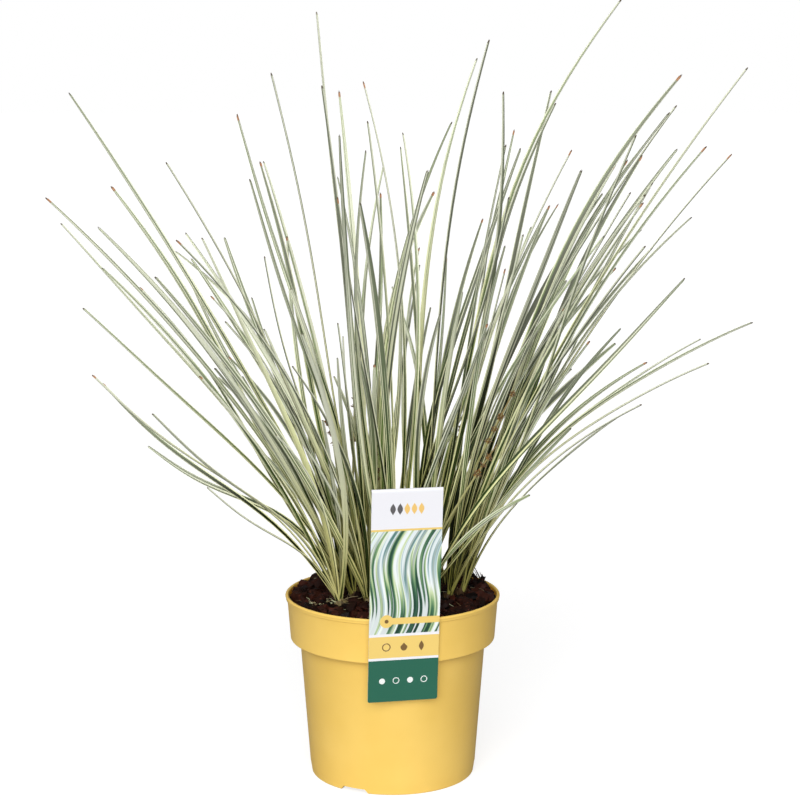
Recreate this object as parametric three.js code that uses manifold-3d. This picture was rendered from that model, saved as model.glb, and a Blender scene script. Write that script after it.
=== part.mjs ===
// A variegated mat rush in a plastic nursery pot, in millimetres, +Z up, standing on z = 0.
// The front, where the label hangs, faces -Y. The origin is the middle of the pot's underside.
import * as THREE from "three";
import { mergeVertices } from "three/addons/utils/BufferGeometryUtils.js";
import Module from "manifold-3d";

const wasm = await Module();
wasm.setup();

// Driving dimensions
const potHeight = 145;
const lipRadius = 85; // the rolled lip at the top, a 17 cm pot
const collarTopRadius = 83.4;
const collarBottomRadius = 81.1;
const collarBottom = 109;
const bodyTopRadius = 73.6;
const footRadius = 65.3;
const collarStep = 1.7; // how far the collar's lower edge draws in before it meets the body
const lipHeight = 3.9;
const wallThickness = 1.3;
const drainHoles = 6;
const drainRadius = 5;
const drainCircle = 50; // the holes' distance from the pot's axis
const footRing = 5; // width of the ring that the pot stands on
const notchWidth = 25; // of the three notches in it, at the ground
const notchHeight = 3.4;
const notchTurns = [-27.6, 92.4, 212.4]; // degrees from the front
const roundSides = 40; // facets round the pot and the soil

const seatGap = 0.3; // running gap between two pieces that touch
const soilEdge = 140.5; // height of the potting mix at the wall
const soilCrown = 146; // and in the middle
const chipCount = 30;

const leafSteps = 5; // straight lengths along one leaf
const leafKeel = 0.9; // thickness at the leaf's keel, from which it thins to its edges
const fillLeaves = 6; // leaves that each shoot has besides its leading ones
const middleFill = 3; // and that the few shoots between the two clumps have
const fillSpread = 200; // and how far out their tips go at most
const crossingHeight = 30; // above the soil, up to which the leaves of one shoot may touch
const culmHalfLength = 5.6; // the sheathed foot of a shoot is an oval
const culmHalfWidth = 4.3;
const culmAboveSoil = 6;
const rootDepth = 16; // how deep the shoots and the spikes stand in the soil
const stalkRadius = 1.6; // foot of a flower spike
const stalkWidth = 2.6; // its flat stalk above that
const holeGap = 0.4;
const leafGap = 0.4; // least clearance between two leaves of one shoot
const shootGap = 0.8; // and between two shoots

const labelWidth = 54;
const labelAbove = 103.3; // how far the label stands above the pot's rim
const labelBelow = 64.6; // and how far it hangs below
const labelSheet = 0.6;
const labelTurn = 12; // degrees to the right of the pot's front, where it touches the rim
const labelShift = -8.8; // from there to the label's middle
const labelLean = 6.4; // degrees outwards at the top, as the collar tapers
const tongueWidth = 24;
const tongueShift = -4;
const tongueFoot = 118; // height of the tongue's tip inside the pot

// Each shoot: where it stands on the soil, and the tips of its leading leaves, as [across, depth,
// height]. Depths are guessed, since the picture shows the plant from one side. A leaf that bends
// more than most also has its bow, and how far it swings back up towards its tip.
const shoots = [
  {
    at: [-40, -30],
    tips: [[-225, -60, 327, 10, 7], [-175, -110, 308, 9, 6], [-137, -90, 248, 6, 4],
      [-227, 10, 311, 8, 6]],
  },
  {
    at: [-30, -8],
    tips: [[-260, -40, 460], [-230, -60, 378, 11, 3], [-214, -90, 440],
      [-124, -150, 344]],
  },
  { at: [-40, 14], tips: [[-267, 60, 433], [-229, 90, 463], [-201, 60, 252, 16, 8], [-211, 120, 376]] },
  {
    at: [-18, -26],
    tips: [[-253, 30, 538, 12, 0], [-169, -120, 407], [-100, -140, 477],
      [-50, -90, 543]],
  },
  { at: [-17, 12], tips: [[-168, -60, 486], [-124, 60, 519], [-88, -50, 552], [-59, 40, 599]] },
  { at: [-28, 40], tips: [[-171, 150, 399], [-144, 140, 418], [-107, 130, 480], [-45, 120, 540]] },
  { at: [3, -40], tips: [[-35, -160, 509], [-21, -180, 461], [-18, -60, 515]] },
  { at: [1, -6], tips: [[-23, 70, 547], [25, -100, 483]] },
  { at: [-5, 34], tips: [[-8, 150, 476], [36, 130, 455], [47, 60, 515]] },
  {
    at: [24, -22],
    tips: [[78, -120, 539], [72, -50, 576], [99, -130, 250, 8, 0],
      [126, -150, 303, 10, 0]],
  },
  { at: [22, 12], tips: [[68, 110, 565], [128, 90, 539], [175, 20, 609]] },
  {
    at: [44, -8],
    tips: [[199, -90, 522], [130, -170, 486], [171, -120, 507],
      [181, -110, 313, 17, 0]],
  },
  { at: [42, 22], tips: [[214, -30, 528], [231, 70, 551], [268, -20, 557, 16, 0], [120, -60, 530]] },
  {
    at: [54, 5],
    tips: [[276, -30, 363, 38, 4], [232, -90, 342, 30, 3], [250, 60, 340, 34, 4],
      [184, -80, 463], [180, -130, 431]],
  },
  { at: [20, 50], tips: [[181, 180, 452], [189, 140, 326], [206, 110, 424]] },
  {
    at: [52, 46],
    tips: [[271, 60, 488, 21, 0], [238, 130, 490], [213, 150, 497],
      [205, 40, 321, 20, 0]],
  },
];

// Each flower spike: where it stands and where its top is.
const spikes = [
  { at: [-14, -8], top: [-50, -40, 290] },
  { at: [-3, 14], top: [-15, -4, 266] },
  { at: [22, -5], top: [93, -40, 313] },
  { at: [10, -28], top: [79, -62, 275] },
  { at: [32, 36], top: [57, 30, 282] },
  { at: [-33, 28], top: [-31, 60, 296] },
];
const spikeFlowers = 5; // clusters along the top of each spike
const spikeReach = 4.4; // how far a cluster's spines stand out from the stalk
const headRadius = 2; // of the cluster between its spines

// Materials
const material = (color, roughness) => new THREE.MeshStandardMaterial({ color, roughness, metalness: 0 });
const potPlastic = material(0xe8bf55, 0.45);
const pottingMix = material(0x2b1510, 0.95);
const leafGreen = material(0x8f9f6e, 0.55);
const flowerBrown = material(0x7a4320, 0.8);
const labelCard = material(0xf4f4f6, 0.35);

// Tools
// Turns a closed three.js geometry into a solid.
function solid(geometry) {
  const bare = geometry.clone();
  bare.deleteAttribute("normal");
  bare.deleteAttribute("uv");
  const merged = mergeVertices(bare, 1e-4);
  return new wasm.Manifold(
    new wasm.Mesh({
      numProp: 3,
      vertProperties: new Float32Array(merged.attributes.position.array),
      triVerts: new Uint32Array(merged.index.array),
    }),
  );
}

function meshOf(name, body, look) {
  const made = body.getMesh();
  const geometry = new THREE.BufferGeometry()
    .setAttribute("position", new THREE.BufferAttribute(new Float32Array(made.vertProperties), 3))
    .setIndex(new THREE.BufferAttribute(new Uint32Array(made.triVerts), 1));
  geometry.computeVertexNormals();
  const mesh = new THREE.Mesh(geometry, look);
  mesh.name = name;
  return mesh;
}

const joined = (bodies) => bodies.reduce((whole, body) => whole.add(body));

// A small generator of even draws, so that the plant grows the same every time.
function seeded(seed) {
  let state = (seed * 7919 + 104729) % 4294967296;
  const draw = (low, high) => {
    state = (1664525 * state + 1013904223) % 4294967296;
    return low + ((high - low) * state) / 4294967296;
  };
  for (let i = 0; i < 4; i++) draw(0, 1);
  return draw;
}

const radians = THREE.MathUtils.degToRad;

// A profile of [radius, height] pairs turned about the vertical axis.
function turned(profile) {
  const points = profile.map(([r, z]) => new THREE.Vector2(r, z));
  return new THREE.LatheGeometry(points, roundSides).rotateX(Math.PI / 2);
}

// The pot
const innerRadiusAt = (z) => {
  const inCollar = z > collarBottom + wallThickness;
  const [r0, z0, r1, z1] = inCollar
    ? [collarBottomRadius, collarBottom, collarTopRadius, potHeight - lipHeight]
    : [footRadius, 0, bodyTopRadius, collarBottom];
  return r0 + ((r1 - r0) * (z - z0)) / (z1 - z0) - wallThickness;
};

// The floor is lifted between a flat pad in its middle and the foot ring at its edge.
const padRadius = 14;
const padSlope = 3;
const padTop = 1.8;
const floorUnderside = 3;
const floorTop = 4.8;
const lipTop = 1.6; // depth of the rolled lip's inner edge
const innerShelf = collarBottom + wallThickness;

function pot() {
  const profile = [
    [0, 0], [padRadius, 0], [padRadius + padSlope, floorUnderside],
    [footRadius - footRing - 0.8, floorUnderside], [footRadius - footRing, 0],
    [footRadius - 1.5, 0], [footRadius, 1.8],
    [bodyTopRadius, collarBottom], [collarBottomRadius - collarStep, collarBottom],
    [collarBottomRadius - 0.4, collarBottom + 0.6], [collarBottomRadius, collarBottom + 2],
    [collarTopRadius, potHeight - lipHeight - 0.5], [lipRadius - 0.4, potHeight - lipHeight],
    [lipRadius, potHeight - 2.6], [lipRadius, potHeight - 0.9], [lipRadius - 0.8, potHeight],
    [lipRadius - 2.2, potHeight], [innerRadiusAt(potHeight - lipTop), potHeight - lipTop],
    [innerRadiusAt(innerShelf + 0.1), innerShelf], [innerRadiusAt(innerShelf - 1), innerShelf - 1],
    [innerRadiusAt(floorTop), floorTop], [padRadius + padSlope, floorTop], [padRadius + 0.5, padTop],
    [0, padTop],
  ];
  let body = solid(turned(profile));
  for (let i = 0; i < drainHoles; i++) {
    const angle = (i / drainHoles) * 2 * Math.PI;
    const drill = new THREE.CylinderGeometry(drainRadius, drainRadius, 12, 10).rotateX(Math.PI / 2);
    drill.translate(drainCircle * Math.cos(angle), drainCircle * Math.sin(angle), floorUnderside);
    body = body.subtract(solid(drill));
  }
  // Three sloped notches through the foot ring let water out.
  const foot = notchWidth / 2;
  const notch = new THREE.Shape();
  notch.moveTo(-foot, -1).lineTo(foot, -1).lineTo(foot - 3, notchHeight).lineTo(3 - foot, notchHeight);
  notch.closePath();
  for (const turn of notchTurns) {
    const cutter = new THREE.ExtrudeGeometry(notch, { depth: footRing + 9, bevelEnabled: false });
    cutter.rotateX(Math.PI / 2).translate(0, 4 + footRing - footRadius, 0).rotateZ(radians(turn));
    body = body.subtract(solid(cutter));
  }
  return body;
}

// The soil
// The mix is a low mound with soft hollows, heaped against the wall at the back on either side.
const heap = (x, y, reach) => Math.exp(-(x * x + y * y) / (reach * reach));
const soilHeight = (x, y) =>
  soilEdge + (soilCrown - soilEdge) * (1 - (x * x + y * y) / 6600) +
  5 * heap(x + 50, y - 55, 30) + 4.5 * heap(x - 68, y - 34, 20) +
  0.9 * Math.sin(x / 6 + 1.3) * Math.cos(y / 5.5) + 0.5 * Math.sin((x + y) / 4);

const soilRings = 8;
function soil() {
  const bottom = floorTop + seatGap;
  const wide = innerRadiusAt(soilEdge) - seatGap;
  const profile = [
    [0, padTop + seatGap], [padRadius + 0.2, padTop + seatGap], [padRadius + padSlope - 0.1, bottom],
    [innerRadiusAt(bottom) - seatGap, bottom],
    [innerRadiusAt(innerShelf - 1) - seatGap, innerShelf + seatGap],
    [innerRadiusAt(innerShelf + 0.4) - seatGap, innerShelf + seatGap], [wide, soilEdge],
  ];
  for (let ring = soilRings - 1; ring >= 0; ring--) profile.push([(wide * ring) / soilRings, soilEdge]);
  const geometry = turned(profile);
  const place = geometry.attributes.position;
  for (let i = 0; i < place.count; i++) {
    if (place.getZ(i) > soilEdge - 0.5) place.setZ(i, soilHeight(place.getX(i), place.getY(i)));
  }
  return solid(geometry);
}

// A flake of bark: a box with its corners knocked about.
function barkChip(draw, x, y) {
  const size = [draw(9, 17), draw(6, 11), draw(2.5, 4.5)];
  const geometry = new THREE.BoxGeometry(...size);
  geometry.deleteAttribute("normal");
  geometry.deleteAttribute("uv");
  const chip = mergeVertices(geometry);
  const place = chip.attributes.position;
  for (let i = 0; i < place.count; i++) {
    place.setXYZ(
      i,
      place.getX(i) * draw(0.6, 1.1),
      place.getY(i) * draw(0.6, 1.1),
      place.getZ(i) * draw(0.7, 1.2),
    );
  }
  chip.rotateX(draw(-0.45, 0.45)).rotateY(draw(-0.35, 0.35)).rotateZ(draw(0, Math.PI));
  return chip.translate(x, y, soilHeight(x, y) + draw(0, 1.4));
}

// The leaves
// A leaf runs from its root to its tip along a chord, bowed upwards by arch, sideways by sway
// and into an S by curl, all as lengths. Its face turns from twist to twist + turn.
function leafLine(leaf) {
  const root = new THREE.Vector3(...leaf.root);
  const chord = new THREE.Vector3(...leaf.tip).sub(root);
  const along = chord.clone().normalize();
  const up = new THREE.Vector3(0, 0, 1).addScaledVector(along, -along.z).normalize();
  const side = new THREE.Vector3().crossVectors(along, up);
  const pointAt = (t) => {
    const bow = 4 * t * (1 - t);
    return root.clone().addScaledVector(chord, t)
      .addScaledVector(up, leaf.arch * bow + leaf.curl * Math.sin(2 * Math.PI * t))
      .addScaledVector(side, leaf.sway * bow);
  };
  // The frame of the cross-section: across is the leaf's width, face is its upper side.
  const frameAt = (t) => {
    const ahead = pointAt(t + 0.01).sub(pointAt(t - 0.01)).normalize();
    const face = up.clone().addScaledVector(ahead, -ahead.dot(up)).normalize();
    const across = new THREE.Vector3().crossVectors(ahead, face);
    const angle = leaf.twist + leaf.turn * t;
    const [cos, sin] = [Math.cos(angle), Math.sin(angle)];
    return {
      across: across.clone().multiplyScalar(cos).addScaledVector(face, sin),
      face: face.clone().multiplyScalar(cos).addScaledVector(across, -sin),
    };
  };
  const widthAt = (t) => leaf.width * (0.64 + 1.2 * t - 1.1 * t * t - 0.42 * t * t * t * t);
  return { pointAt, frameAt, widthAt };
}

// The leaf's solid is a three-sided bar: a flat upper face, and a keel below.
function leafSolid(leaf) {
  const { pointAt, frameAt, widthAt } = leafLine(leaf);
  const geometry = new THREE.CylinderGeometry(1, 1, 1, 3, leafSteps);
  const place = geometry.attributes.position;
  for (let i = 0; i < place.count; i++) {
    const t = place.getY(i) + 0.5;
    const { across, face } = frameAt(t);
    const onKeel = place.getZ(i) > 0.5;
    const onAxis = Math.abs(place.getZ(i)) < 0.01;
    const depth = onKeel ? -leafKeel : onAxis ? -leafKeel / 3 : 0;
    const sideways = -Math.sign(Math.round(place.getX(i))) * (widthAt(t) / 2);
    const spot = pointAt(t).addScaledVector(across, sideways).addScaledVector(face, depth);
    place.setXYZ(i, spot.x, spot.y, spot.z);
  }
  return solid(geometry);
}

// Points along a leaf, with what the clearance test needs at each.
const checkSteps = 12;
const halfDepth = 0.8; // of a leaf, with some room for its twist
const farApart = 100; // lengths whose ends are further apart than this can't touch
function checkPoints(leaf) {
  const { pointAt, frameAt, widthAt } = leafLine(leaf);
  const points = [];
  for (let i = 0; i <= checkSteps; i++) {
    const t = i / checkSteps;
    points.push({ t, spot: pointAt(t), halfWidth: widthAt(t) / 2, halfDepth, ...frameAt(t) });
  }
  return points;
}

// How far a leaf's section reaches from its centre line in a direction.
const reach = (point, direction) =>
  point.halfWidth * Math.abs(direction.dot(point.across)) +
  point.halfDepth * Math.abs(direction.dot(point.face));

// The closest two points of two straight lengths, as shares along each.
function closestShares(a0, a1, b0, b1) {
  const da = a1.clone().sub(a0);
  const db = b1.clone().sub(b0);
  const gap = a0.clone().sub(b0);
  const a = da.dot(da);
  const e = db.dot(db);
  const b = da.dot(db);
  const c = da.dot(gap);
  const f = db.dot(gap);
  const below = a * e - b * b;
  const clamp = (x) => Math.min(1, Math.max(0, x));
  let s = below > 1e-9 ? clamp((b * f - c * e) / below) : 0;
  const t = clamp((b * s + f) / e);
  s = clamp((b * t - c) / a);
  return [s, t];
}

// Leaves of one shoot may touch below the height given.
function tooClose(mine, theirs, clearance, from) {
  for (let i = 0; i < checkSteps; i++) {
    if (mine[i].spot.z < from) continue;
    for (let j = 0; j < checkSteps; j++) {
      if (theirs[j].spot.z < from) continue;
      if (mine[i].spot.distanceToSquared(theirs[j].spot) > farApart ** 2) continue;
      const [s, t] = closestShares(mine[i].spot, mine[i + 1].spot, theirs[j].spot, theirs[j + 1].spot);
      const a = mine[i].spot.clone().lerp(mine[i + 1].spot, s);
      const b = theirs[j].spot.clone().lerp(theirs[j + 1].spot, t);
      const between = b.sub(a);
      const distance = between.length();
      if (distance < 1e-6) return true;
      between.divideScalar(distance);
      const nearMine = mine[s < 0.5 ? i : i + 1];
      const nearTheirs = theirs[t < 0.5 ? j : j + 1];
      if (distance < reach(nearMine, between) + reach(nearTheirs, between) + clearance) return true;
    }
  }
  return false;
}

// A leaf keeps off the pot's rim, the label and the feet of the other shoots and spikes.
const labelAngle = radians(labelTurn);
const rimZone = 72; // radius past which a leaf stays above the rim
const labelZone = [74, 104]; // distances out from the axis that the label takes up, with room
const footZone = 9.5; // radius round a foot
function hitsHolder(points, foot, feet) {
  return points.some(({ spot }) => {
    const radius = Math.hypot(spot.x, spot.y);
    if (radius > rimZone && spot.z < potHeight + 8) return true;
    const x = spot.x * Math.cos(labelAngle) + spot.y * Math.sin(labelAngle) - labelShift;
    const out = spot.x * Math.sin(labelAngle) - spot.y * Math.cos(labelAngle);
    const inLabelPath = Math.abs(x) < labelWidth / 2 + 5 && out > labelZone[0] && out < labelZone[1];
    if (inLabelPath && spot.z < potHeight + labelAbove + 6) return true;
    return feet.some(
      (other) =>
        other !== foot && spot.z < soilCrown + culmAboveSoil + 4 &&
        Math.hypot(spot.x - other[0], spot.y - other[1]) < footZone,
    );
  });
}

// Draws one leaf of a shoot. Leading leaves keep their tips, and the others follow the shoot's fan.
function drawLeaf(shoot, index, attempt) {
  const [x, y] = shoot.at;
  const draw = seeded(1 + shoot.number * 977 + index * 61 + attempt * 7);
  const lead = shoot.tips[index];
  let tip;
  if (lead) {
    const play = 3 + attempt * 1.5;
    tip = [lead[0] + draw(-play, play) * 0.4, lead[1] + draw(-play, play), lead[2] + draw(-play, play) * 0.4];
  } else {
    const fan = shoot.number * culmTurn;
    const turnSide = index % 2 ? 1 : -1;
    const spread = 0.04 + 0.22 * ((index - shoot.tips.length + draw(0, 1)) / fillLeaves);
    // The right clump is taller, and its shoots all lean alike.
    const inRightClump = x > 15;
    const clumpLean = inRightClump ? 0.2 + 0.003 * x : 0.0085 * x;
    const leanX = clumpLean + Math.cos(fan) * turnSide * spread + draw(-0.34, 0.34);
    const leanY = (y / 45) * 0.34 + Math.sin(fan) * turnSide * spread * 1.2 + draw(-0.2, 0.2);
    const tall = draw(200, 370) + (inRightClump ? 40 : 0) - 60 * spread;
    const length = tall * (index % 5 === 4 ? 0.7 : 1);
    const scale = Math.min(length / Math.hypot(leanX, leanY, 1), fillSpread / Math.hypot(leanX, leanY));
    tip = [x + leanX * scale, y + leanY * scale, soilCrown + scale];
  }
  const heading = Math.atan2(tip[1] - y, tip[0] - x);
  const run = Math.hypot(tip[0] - x, tip[1] - y);
  const length = Math.hypot(run, tip[2] - soilCrown);
  const flatness = run / length;
  const start = 3.2 * Math.min(1, flatness * 1.6);
  return {
    root: [x + start * Math.cos(heading), y + start * Math.sin(heading), soilHeight(x, y) + 2.5],
    tip: tip.slice(0, 3),
    arch: lead?.[3] ?? length * (0.03 + 0.08 * flatness ** 2.2 + draw(-0.03, 0.03)),
    curl: lead?.[4] ?? length * draw(-0.016, 0.016),
    sway: length * draw(-0.06, 0.06),
    width: draw(3.2, 4.8) + (lead ? 0.7 : 0) + (index % 4 === 1 ? 1.1 : 0),
    twist: draw(-0.7, 0.7) - 0.8 * Math.cos(heading), // which shows more of its face to the front
    turn: draw(-0.9, 0.9),
  };
}

// The foot of a stem: an oval post that stands in the soil and tapers to its top. With a gap it is
// the plain hole for that foot instead, straight, and open at the soil's surface.
function post([x, y], { across, along, above, top, sides, turn, gap }) {
  const reachUp = above + (gap ? 6 : 0);
  const geometry = new THREE.CylinderGeometry(gap ? 1 : top, 1, rootDepth + reachUp + gap, sides);
  geometry.rotateX(Math.PI / 2).scale(across + gap, along + gap, 1).rotateZ(turn);
  return solid(geometry.translate(x, y, soilHeight(x, y) + (reachUp - rootDepth - gap) / 2));
}

const culmTurn = 2.4; // the fans of neighbouring shoots stand in different planes
function culm(shoot, gap) {
  const turn = shoot.number * culmTurn;
  const size = { across: culmHalfLength, along: culmHalfWidth, above: culmAboveSoil, top: 0.8, sides: 8 };
  return post(shoot.at, { ...size, turn, gap });
}

// The flower spikes
// A flat stalk with spiny heads of small flowers up its top third.
function spikeStalk(spike) {
  const [x, y] = spike.at;
  return {
    root: [x, y, soilHeight(x, y) - 1],
    tip: spike.top,
    arch: 3,
    curl: 0,
    sway: 0,
    width: stalkWidth,
    twist: 0.3,
    turn: 0.4,
  };
}

const headSpacing = 0.058; // share of the stalk between one head and the next
const lowestHead = 1 - headSpacing * (spikeFlowers + 0.5);
function spikePoints(spike) {
  return checkPoints(spikeStalk(spike)).map((point) => {
    const room = point.t > lowestHead - 0.05 ? spikeReach : stalkRadius;
    return { ...point, halfWidth: room, halfDepth: room };
  });
}

function stalkFoot({ at }, gap) {
  return post(at, { across: stalkRadius, along: stalkRadius, above: 2, top: 1, sides: 6, turn: 0, gap });
}

// A head of small flowers and bracts: a burr whose every second corner is a spine.
function spinyHead(draw) {
  const ball = new THREE.IcosahedronGeometry(1);
  ball.deleteAttribute("normal");
  ball.deleteAttribute("uv");
  const burr = mergeVertices(ball);
  const place = burr.attributes.position;
  for (let i = 0; i < place.count; i++) {
    const out = i % 2 ? spikeReach * draw(0.75, 1) : headRadius;
    place.setXYZ(i, place.getX(i) * out, place.getY(i) * out, place.getZ(i) * out);
  }
  return burr.rotateY(draw(0, 3)).rotateZ(draw(0, 6));
}

function flowerSpike(spike, number) {
  const stalk = spikeStalk(spike);
  const { pointAt } = leafLine(stalk);
  const draw = seeded(5000 + number * 31);
  const pieces = [stalkFoot(spike, 0), leafSolid(stalk)];
  for (let i = 0; i < spikeFlowers; i++) {
    const middle = pointAt(0.99 - headSpacing * i - draw(0, 0.012));
    pieces.push(solid(spinyHead(draw).translate(middle.x, middle.y, middle.z)));
  }
  return joined(pieces);
}

// The label
// One printed sheet, folded at its top. The wide face hangs outside the pot, and the narrow
// tongue behind it goes down inside the rim. Each is drawn from its edge: points of [distance
// out from the pot's axis, height].
const lipMiddle = potHeight - 1.8;
const labelTop = potHeight + labelAbove;
const labelFoot = potHeight - labelBelow;
const faceOutAt = (z) => lipRadius + seatGap + (z - lipMiddle) * Math.tan(radians(labelLean));
const tongueOut = 78;

function sheet(line, width, shift) {
  const thick = line.map(([out, z]) => [out + labelSheet, z]).reverse();
  const points = [...line, ...thick].map(([out, z]) => new THREE.Vector2(out, z));
  const geometry = new THREE.ExtrudeGeometry(new THREE.Shape(points), { depth: width, bevelEnabled: false });
  geometry.translate(0, 0, -width / 2).rotateX(Math.PI / 2).rotateZ(-Math.PI / 2);
  return solid(geometry.translate(shift, 0, 0).rotateZ(labelAngle));
}

function label() {
  const topOut = faceOutAt(labelTop);
  const face = sheet([[faceOutAt(labelFoot), labelFoot], [topOut, labelTop]], labelWidth, labelShift);
  const fold = sheet(
    [[topOut - 2.2, labelTop - 2.4], [topOut - 1.9, labelTop - 1.2], [topOut - 0.9, labelTop - 0.5],
      [topOut + 0.1, labelTop - 0.2]],
    labelWidth,
    labelShift,
  );
  const tongue = sheet(
    [[tongueOut, tongueFoot], [tongueOut + 1, potHeight - 4], [tongueOut + 2.5, potHeight + 12],
      [topOut - 2.2, labelTop - 2]],
    tongueWidth,
    tongueShift,
  );
  return joined([face, fold, tongue]);
}

// The tongue's place in the soil, open towards the pot's wall.
function labelSlot() {
  const slot = new THREE.BoxGeometry(tongueWidth + 1, 8, 40);
  slot.translate(tongueShift, -(tongueOut + 3.5), tongueFoot + 19.4);
  return solid(slot.rotateZ(labelAngle));
}

// The whole plant
const feet = [...shoots.map((shoot) => shoot.at), ...spikes.map((spike) => spike.at)];
const plant = new THREE.Group();

const grown = []; // every leaf so far, with its shoot and its check points
spikes.forEach((spike) => {
  grown.push({ owner: spike, points: spikePoints(spike) });
});
const fits = (leaf, shoot) => {
  const points = checkPoints(leaf);
  if (hitsHolder(points, shoot.at, feet)) return null;
  const blocked = grown.some(({ owner, points: theirs }) =>
    owner === shoot
      ? tooClose(points, theirs, leafGap, soilCrown + crossingHeight)
      : tooClose(points, theirs, shootGap, 0),
  );
  return blocked ? null : points;
};
const mostAttempts = 40;
shoots.forEach((shoot, number) => {
  shoot.number = number;
  shoot.leaves = [];
});
const leavesOf = (shoot) => shoot.tips.length + (Math.abs(shoot.at[0]) < 10 ? middleFill : fillLeaves);
const mostLeaves = Math.max(...shoots.map(leavesOf));
for (let index = 0; index < mostLeaves; index++) {
  for (const shoot of shoots) {
    if (index >= leavesOf(shoot)) continue;
    for (let attempt = 0; attempt < mostAttempts; attempt++) {
      const leaf = drawLeaf(shoot, index, attempt);
      const points = fits(leaf, shoot);
      if (!points) continue;
      grown.push({ owner: shoot, points });
      shoot.leaves.push(leaf);
      break;
    }
  }
}

let groundBody = soil();
const plantBodies = shoots.map((shoot) => joined([culm(shoot, 0), ...shoot.leaves.map(leafSolid)]));
const spikeBodies = spikes.map(flowerSpike);
const labelBody = label();

// Bark lies on the soil wherever it clears the plant and the label.
const chipField = 76; // radius that the bark covers
const goldenAngle = Math.PI * (3 - Math.sqrt(5)); // spreads the flakes evenly
const draw = seeded(42);
const blockers = [...plantBodies, ...spikeBodies, labelBody, pot()];
for (let i = 0; i < chipCount; i++) {
  const far = chipField * Math.sqrt(draw(0.02, 1));
  const angle = i * goldenAngle;
  const chip = barkChip(draw, far * Math.cos(angle), far * Math.sin(angle));
  const room = solid(chip.clone());
  if (blockers.some((body) => !room.intersect(body).isEmpty())) continue;
  groundBody = groundBody.add(room);
}
shoots.forEach((shoot) => {
  groundBody = groundBody.subtract(culm(shoot, holeGap));
});
spikes.forEach((spike) => {
  groundBody = groundBody.subtract(stalkFoot(spike, holeGap));
});
groundBody = groundBody.subtract(labelSlot());

plant.add(meshOf("pot", pot(), potPlastic));
plant.add(meshOf("potting_mix", groundBody, pottingMix));
plant.add(meshOf("plant_label", labelBody, labelCard));
plantBodies.forEach((body, i) => {
  plant.add(meshOf(`shoot_${String(i + 1).padStart(2, "0")}`, body, leafGreen));
});
spikeBodies.forEach((body, i) => {
  plant.add(meshOf(`flower_spike_${i + 1}`, body, flowerBrown));
});

export default plant;
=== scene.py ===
import math
from contextlib import contextmanager

import bpy
import numpy as np
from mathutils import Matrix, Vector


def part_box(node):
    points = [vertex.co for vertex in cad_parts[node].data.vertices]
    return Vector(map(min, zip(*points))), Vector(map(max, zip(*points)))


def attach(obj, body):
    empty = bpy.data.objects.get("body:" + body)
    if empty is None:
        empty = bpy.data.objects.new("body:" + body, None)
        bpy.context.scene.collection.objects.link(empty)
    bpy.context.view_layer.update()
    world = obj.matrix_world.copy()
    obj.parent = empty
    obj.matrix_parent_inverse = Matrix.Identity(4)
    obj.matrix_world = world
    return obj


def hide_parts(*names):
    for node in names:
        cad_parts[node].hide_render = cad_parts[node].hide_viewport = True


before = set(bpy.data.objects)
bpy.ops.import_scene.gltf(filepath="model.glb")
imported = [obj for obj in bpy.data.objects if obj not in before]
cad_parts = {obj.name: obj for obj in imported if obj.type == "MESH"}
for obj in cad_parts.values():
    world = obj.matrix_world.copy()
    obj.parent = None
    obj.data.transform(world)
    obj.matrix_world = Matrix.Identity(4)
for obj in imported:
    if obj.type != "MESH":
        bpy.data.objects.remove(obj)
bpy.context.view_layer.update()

# The camera
# It stands a metre and a half in front of the pot, near the height of the tallest tips, and looks
# down by nine degrees, which the ellipses of the pot's rim and foot give.
camera_data = bpy.data.cameras.new("camera")
camera_data.sensor_width = 36
camera_data.lens = 88.4
camera = bpy.data.objects.new("camera", camera_data)
camera.location = (0.0059, -1.518, 0.537)
camera.rotation_euler = (math.radians(90 - 8.9), 0, 0)
bpy.context.scene.collection.objects.link(camera)
bpy.context.scene.camera = camera

# The pot
# One thin shell of yellow polypropylene, injection moulded: a deep collar under a rolled lip, a
# tapered body, a foot ring with three notches that let water out, and a floor with six holes.
MM = 0.001
POT_SIDES = 192
lip_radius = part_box("pot")[1].x / MM
pot_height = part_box("pot")[1].z / MM
collar_top, collar_bottom = 83.4, 81.1  # the collar's radius at its two ends
collar_height = 36
body_top, foot_radius = 73.6, 65.3
wall = 1.3
lip_height = 3.9
foot_step = 8.5  # height at which the body draws in a little to its foot
foot_ring = 5
pad_radius, pad_top = 14, 1.8
floor_under, floor_top = 3, 4.8
drain_holes, drain_radius, drain_circle = 6, 5, 50
notch_width, notch_height = 25, 3.4
notch_turns = (-27.6, 92.4, 212.4)
shelf = pot_height - collar_height  # where the collar meets the body


def inner_radius(z):
    """The inside of the pot's wall at a height, in millimetres."""
    if z > shelf + wall:
        low, high, bottom, top = collar_bottom, collar_top, shelf, pot_height - lip_height
    else:
        low, high, bottom, top = foot_radius, body_top, 0, shelf
    return low + (high - low) * (z - bottom) / (top - bottom) - wall


def pick(*pieces):
    """Selects these pieces alone, and works on the first."""
    bpy.ops.object.select_all(action="DESELECT")
    for piece in pieces:
        piece.select_set(True)
    if pieces:
        bpy.context.view_layer.objects.active = pieces[0]


def new_piece(primitive, name, **settings):
    """Adds a primitive, with its place laid down in its mesh."""
    pick()
    primitive(**settings)
    bpy.ops.object.transform_apply()
    piece = bpy.context.object
    piece.name = name
    return piece


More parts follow.
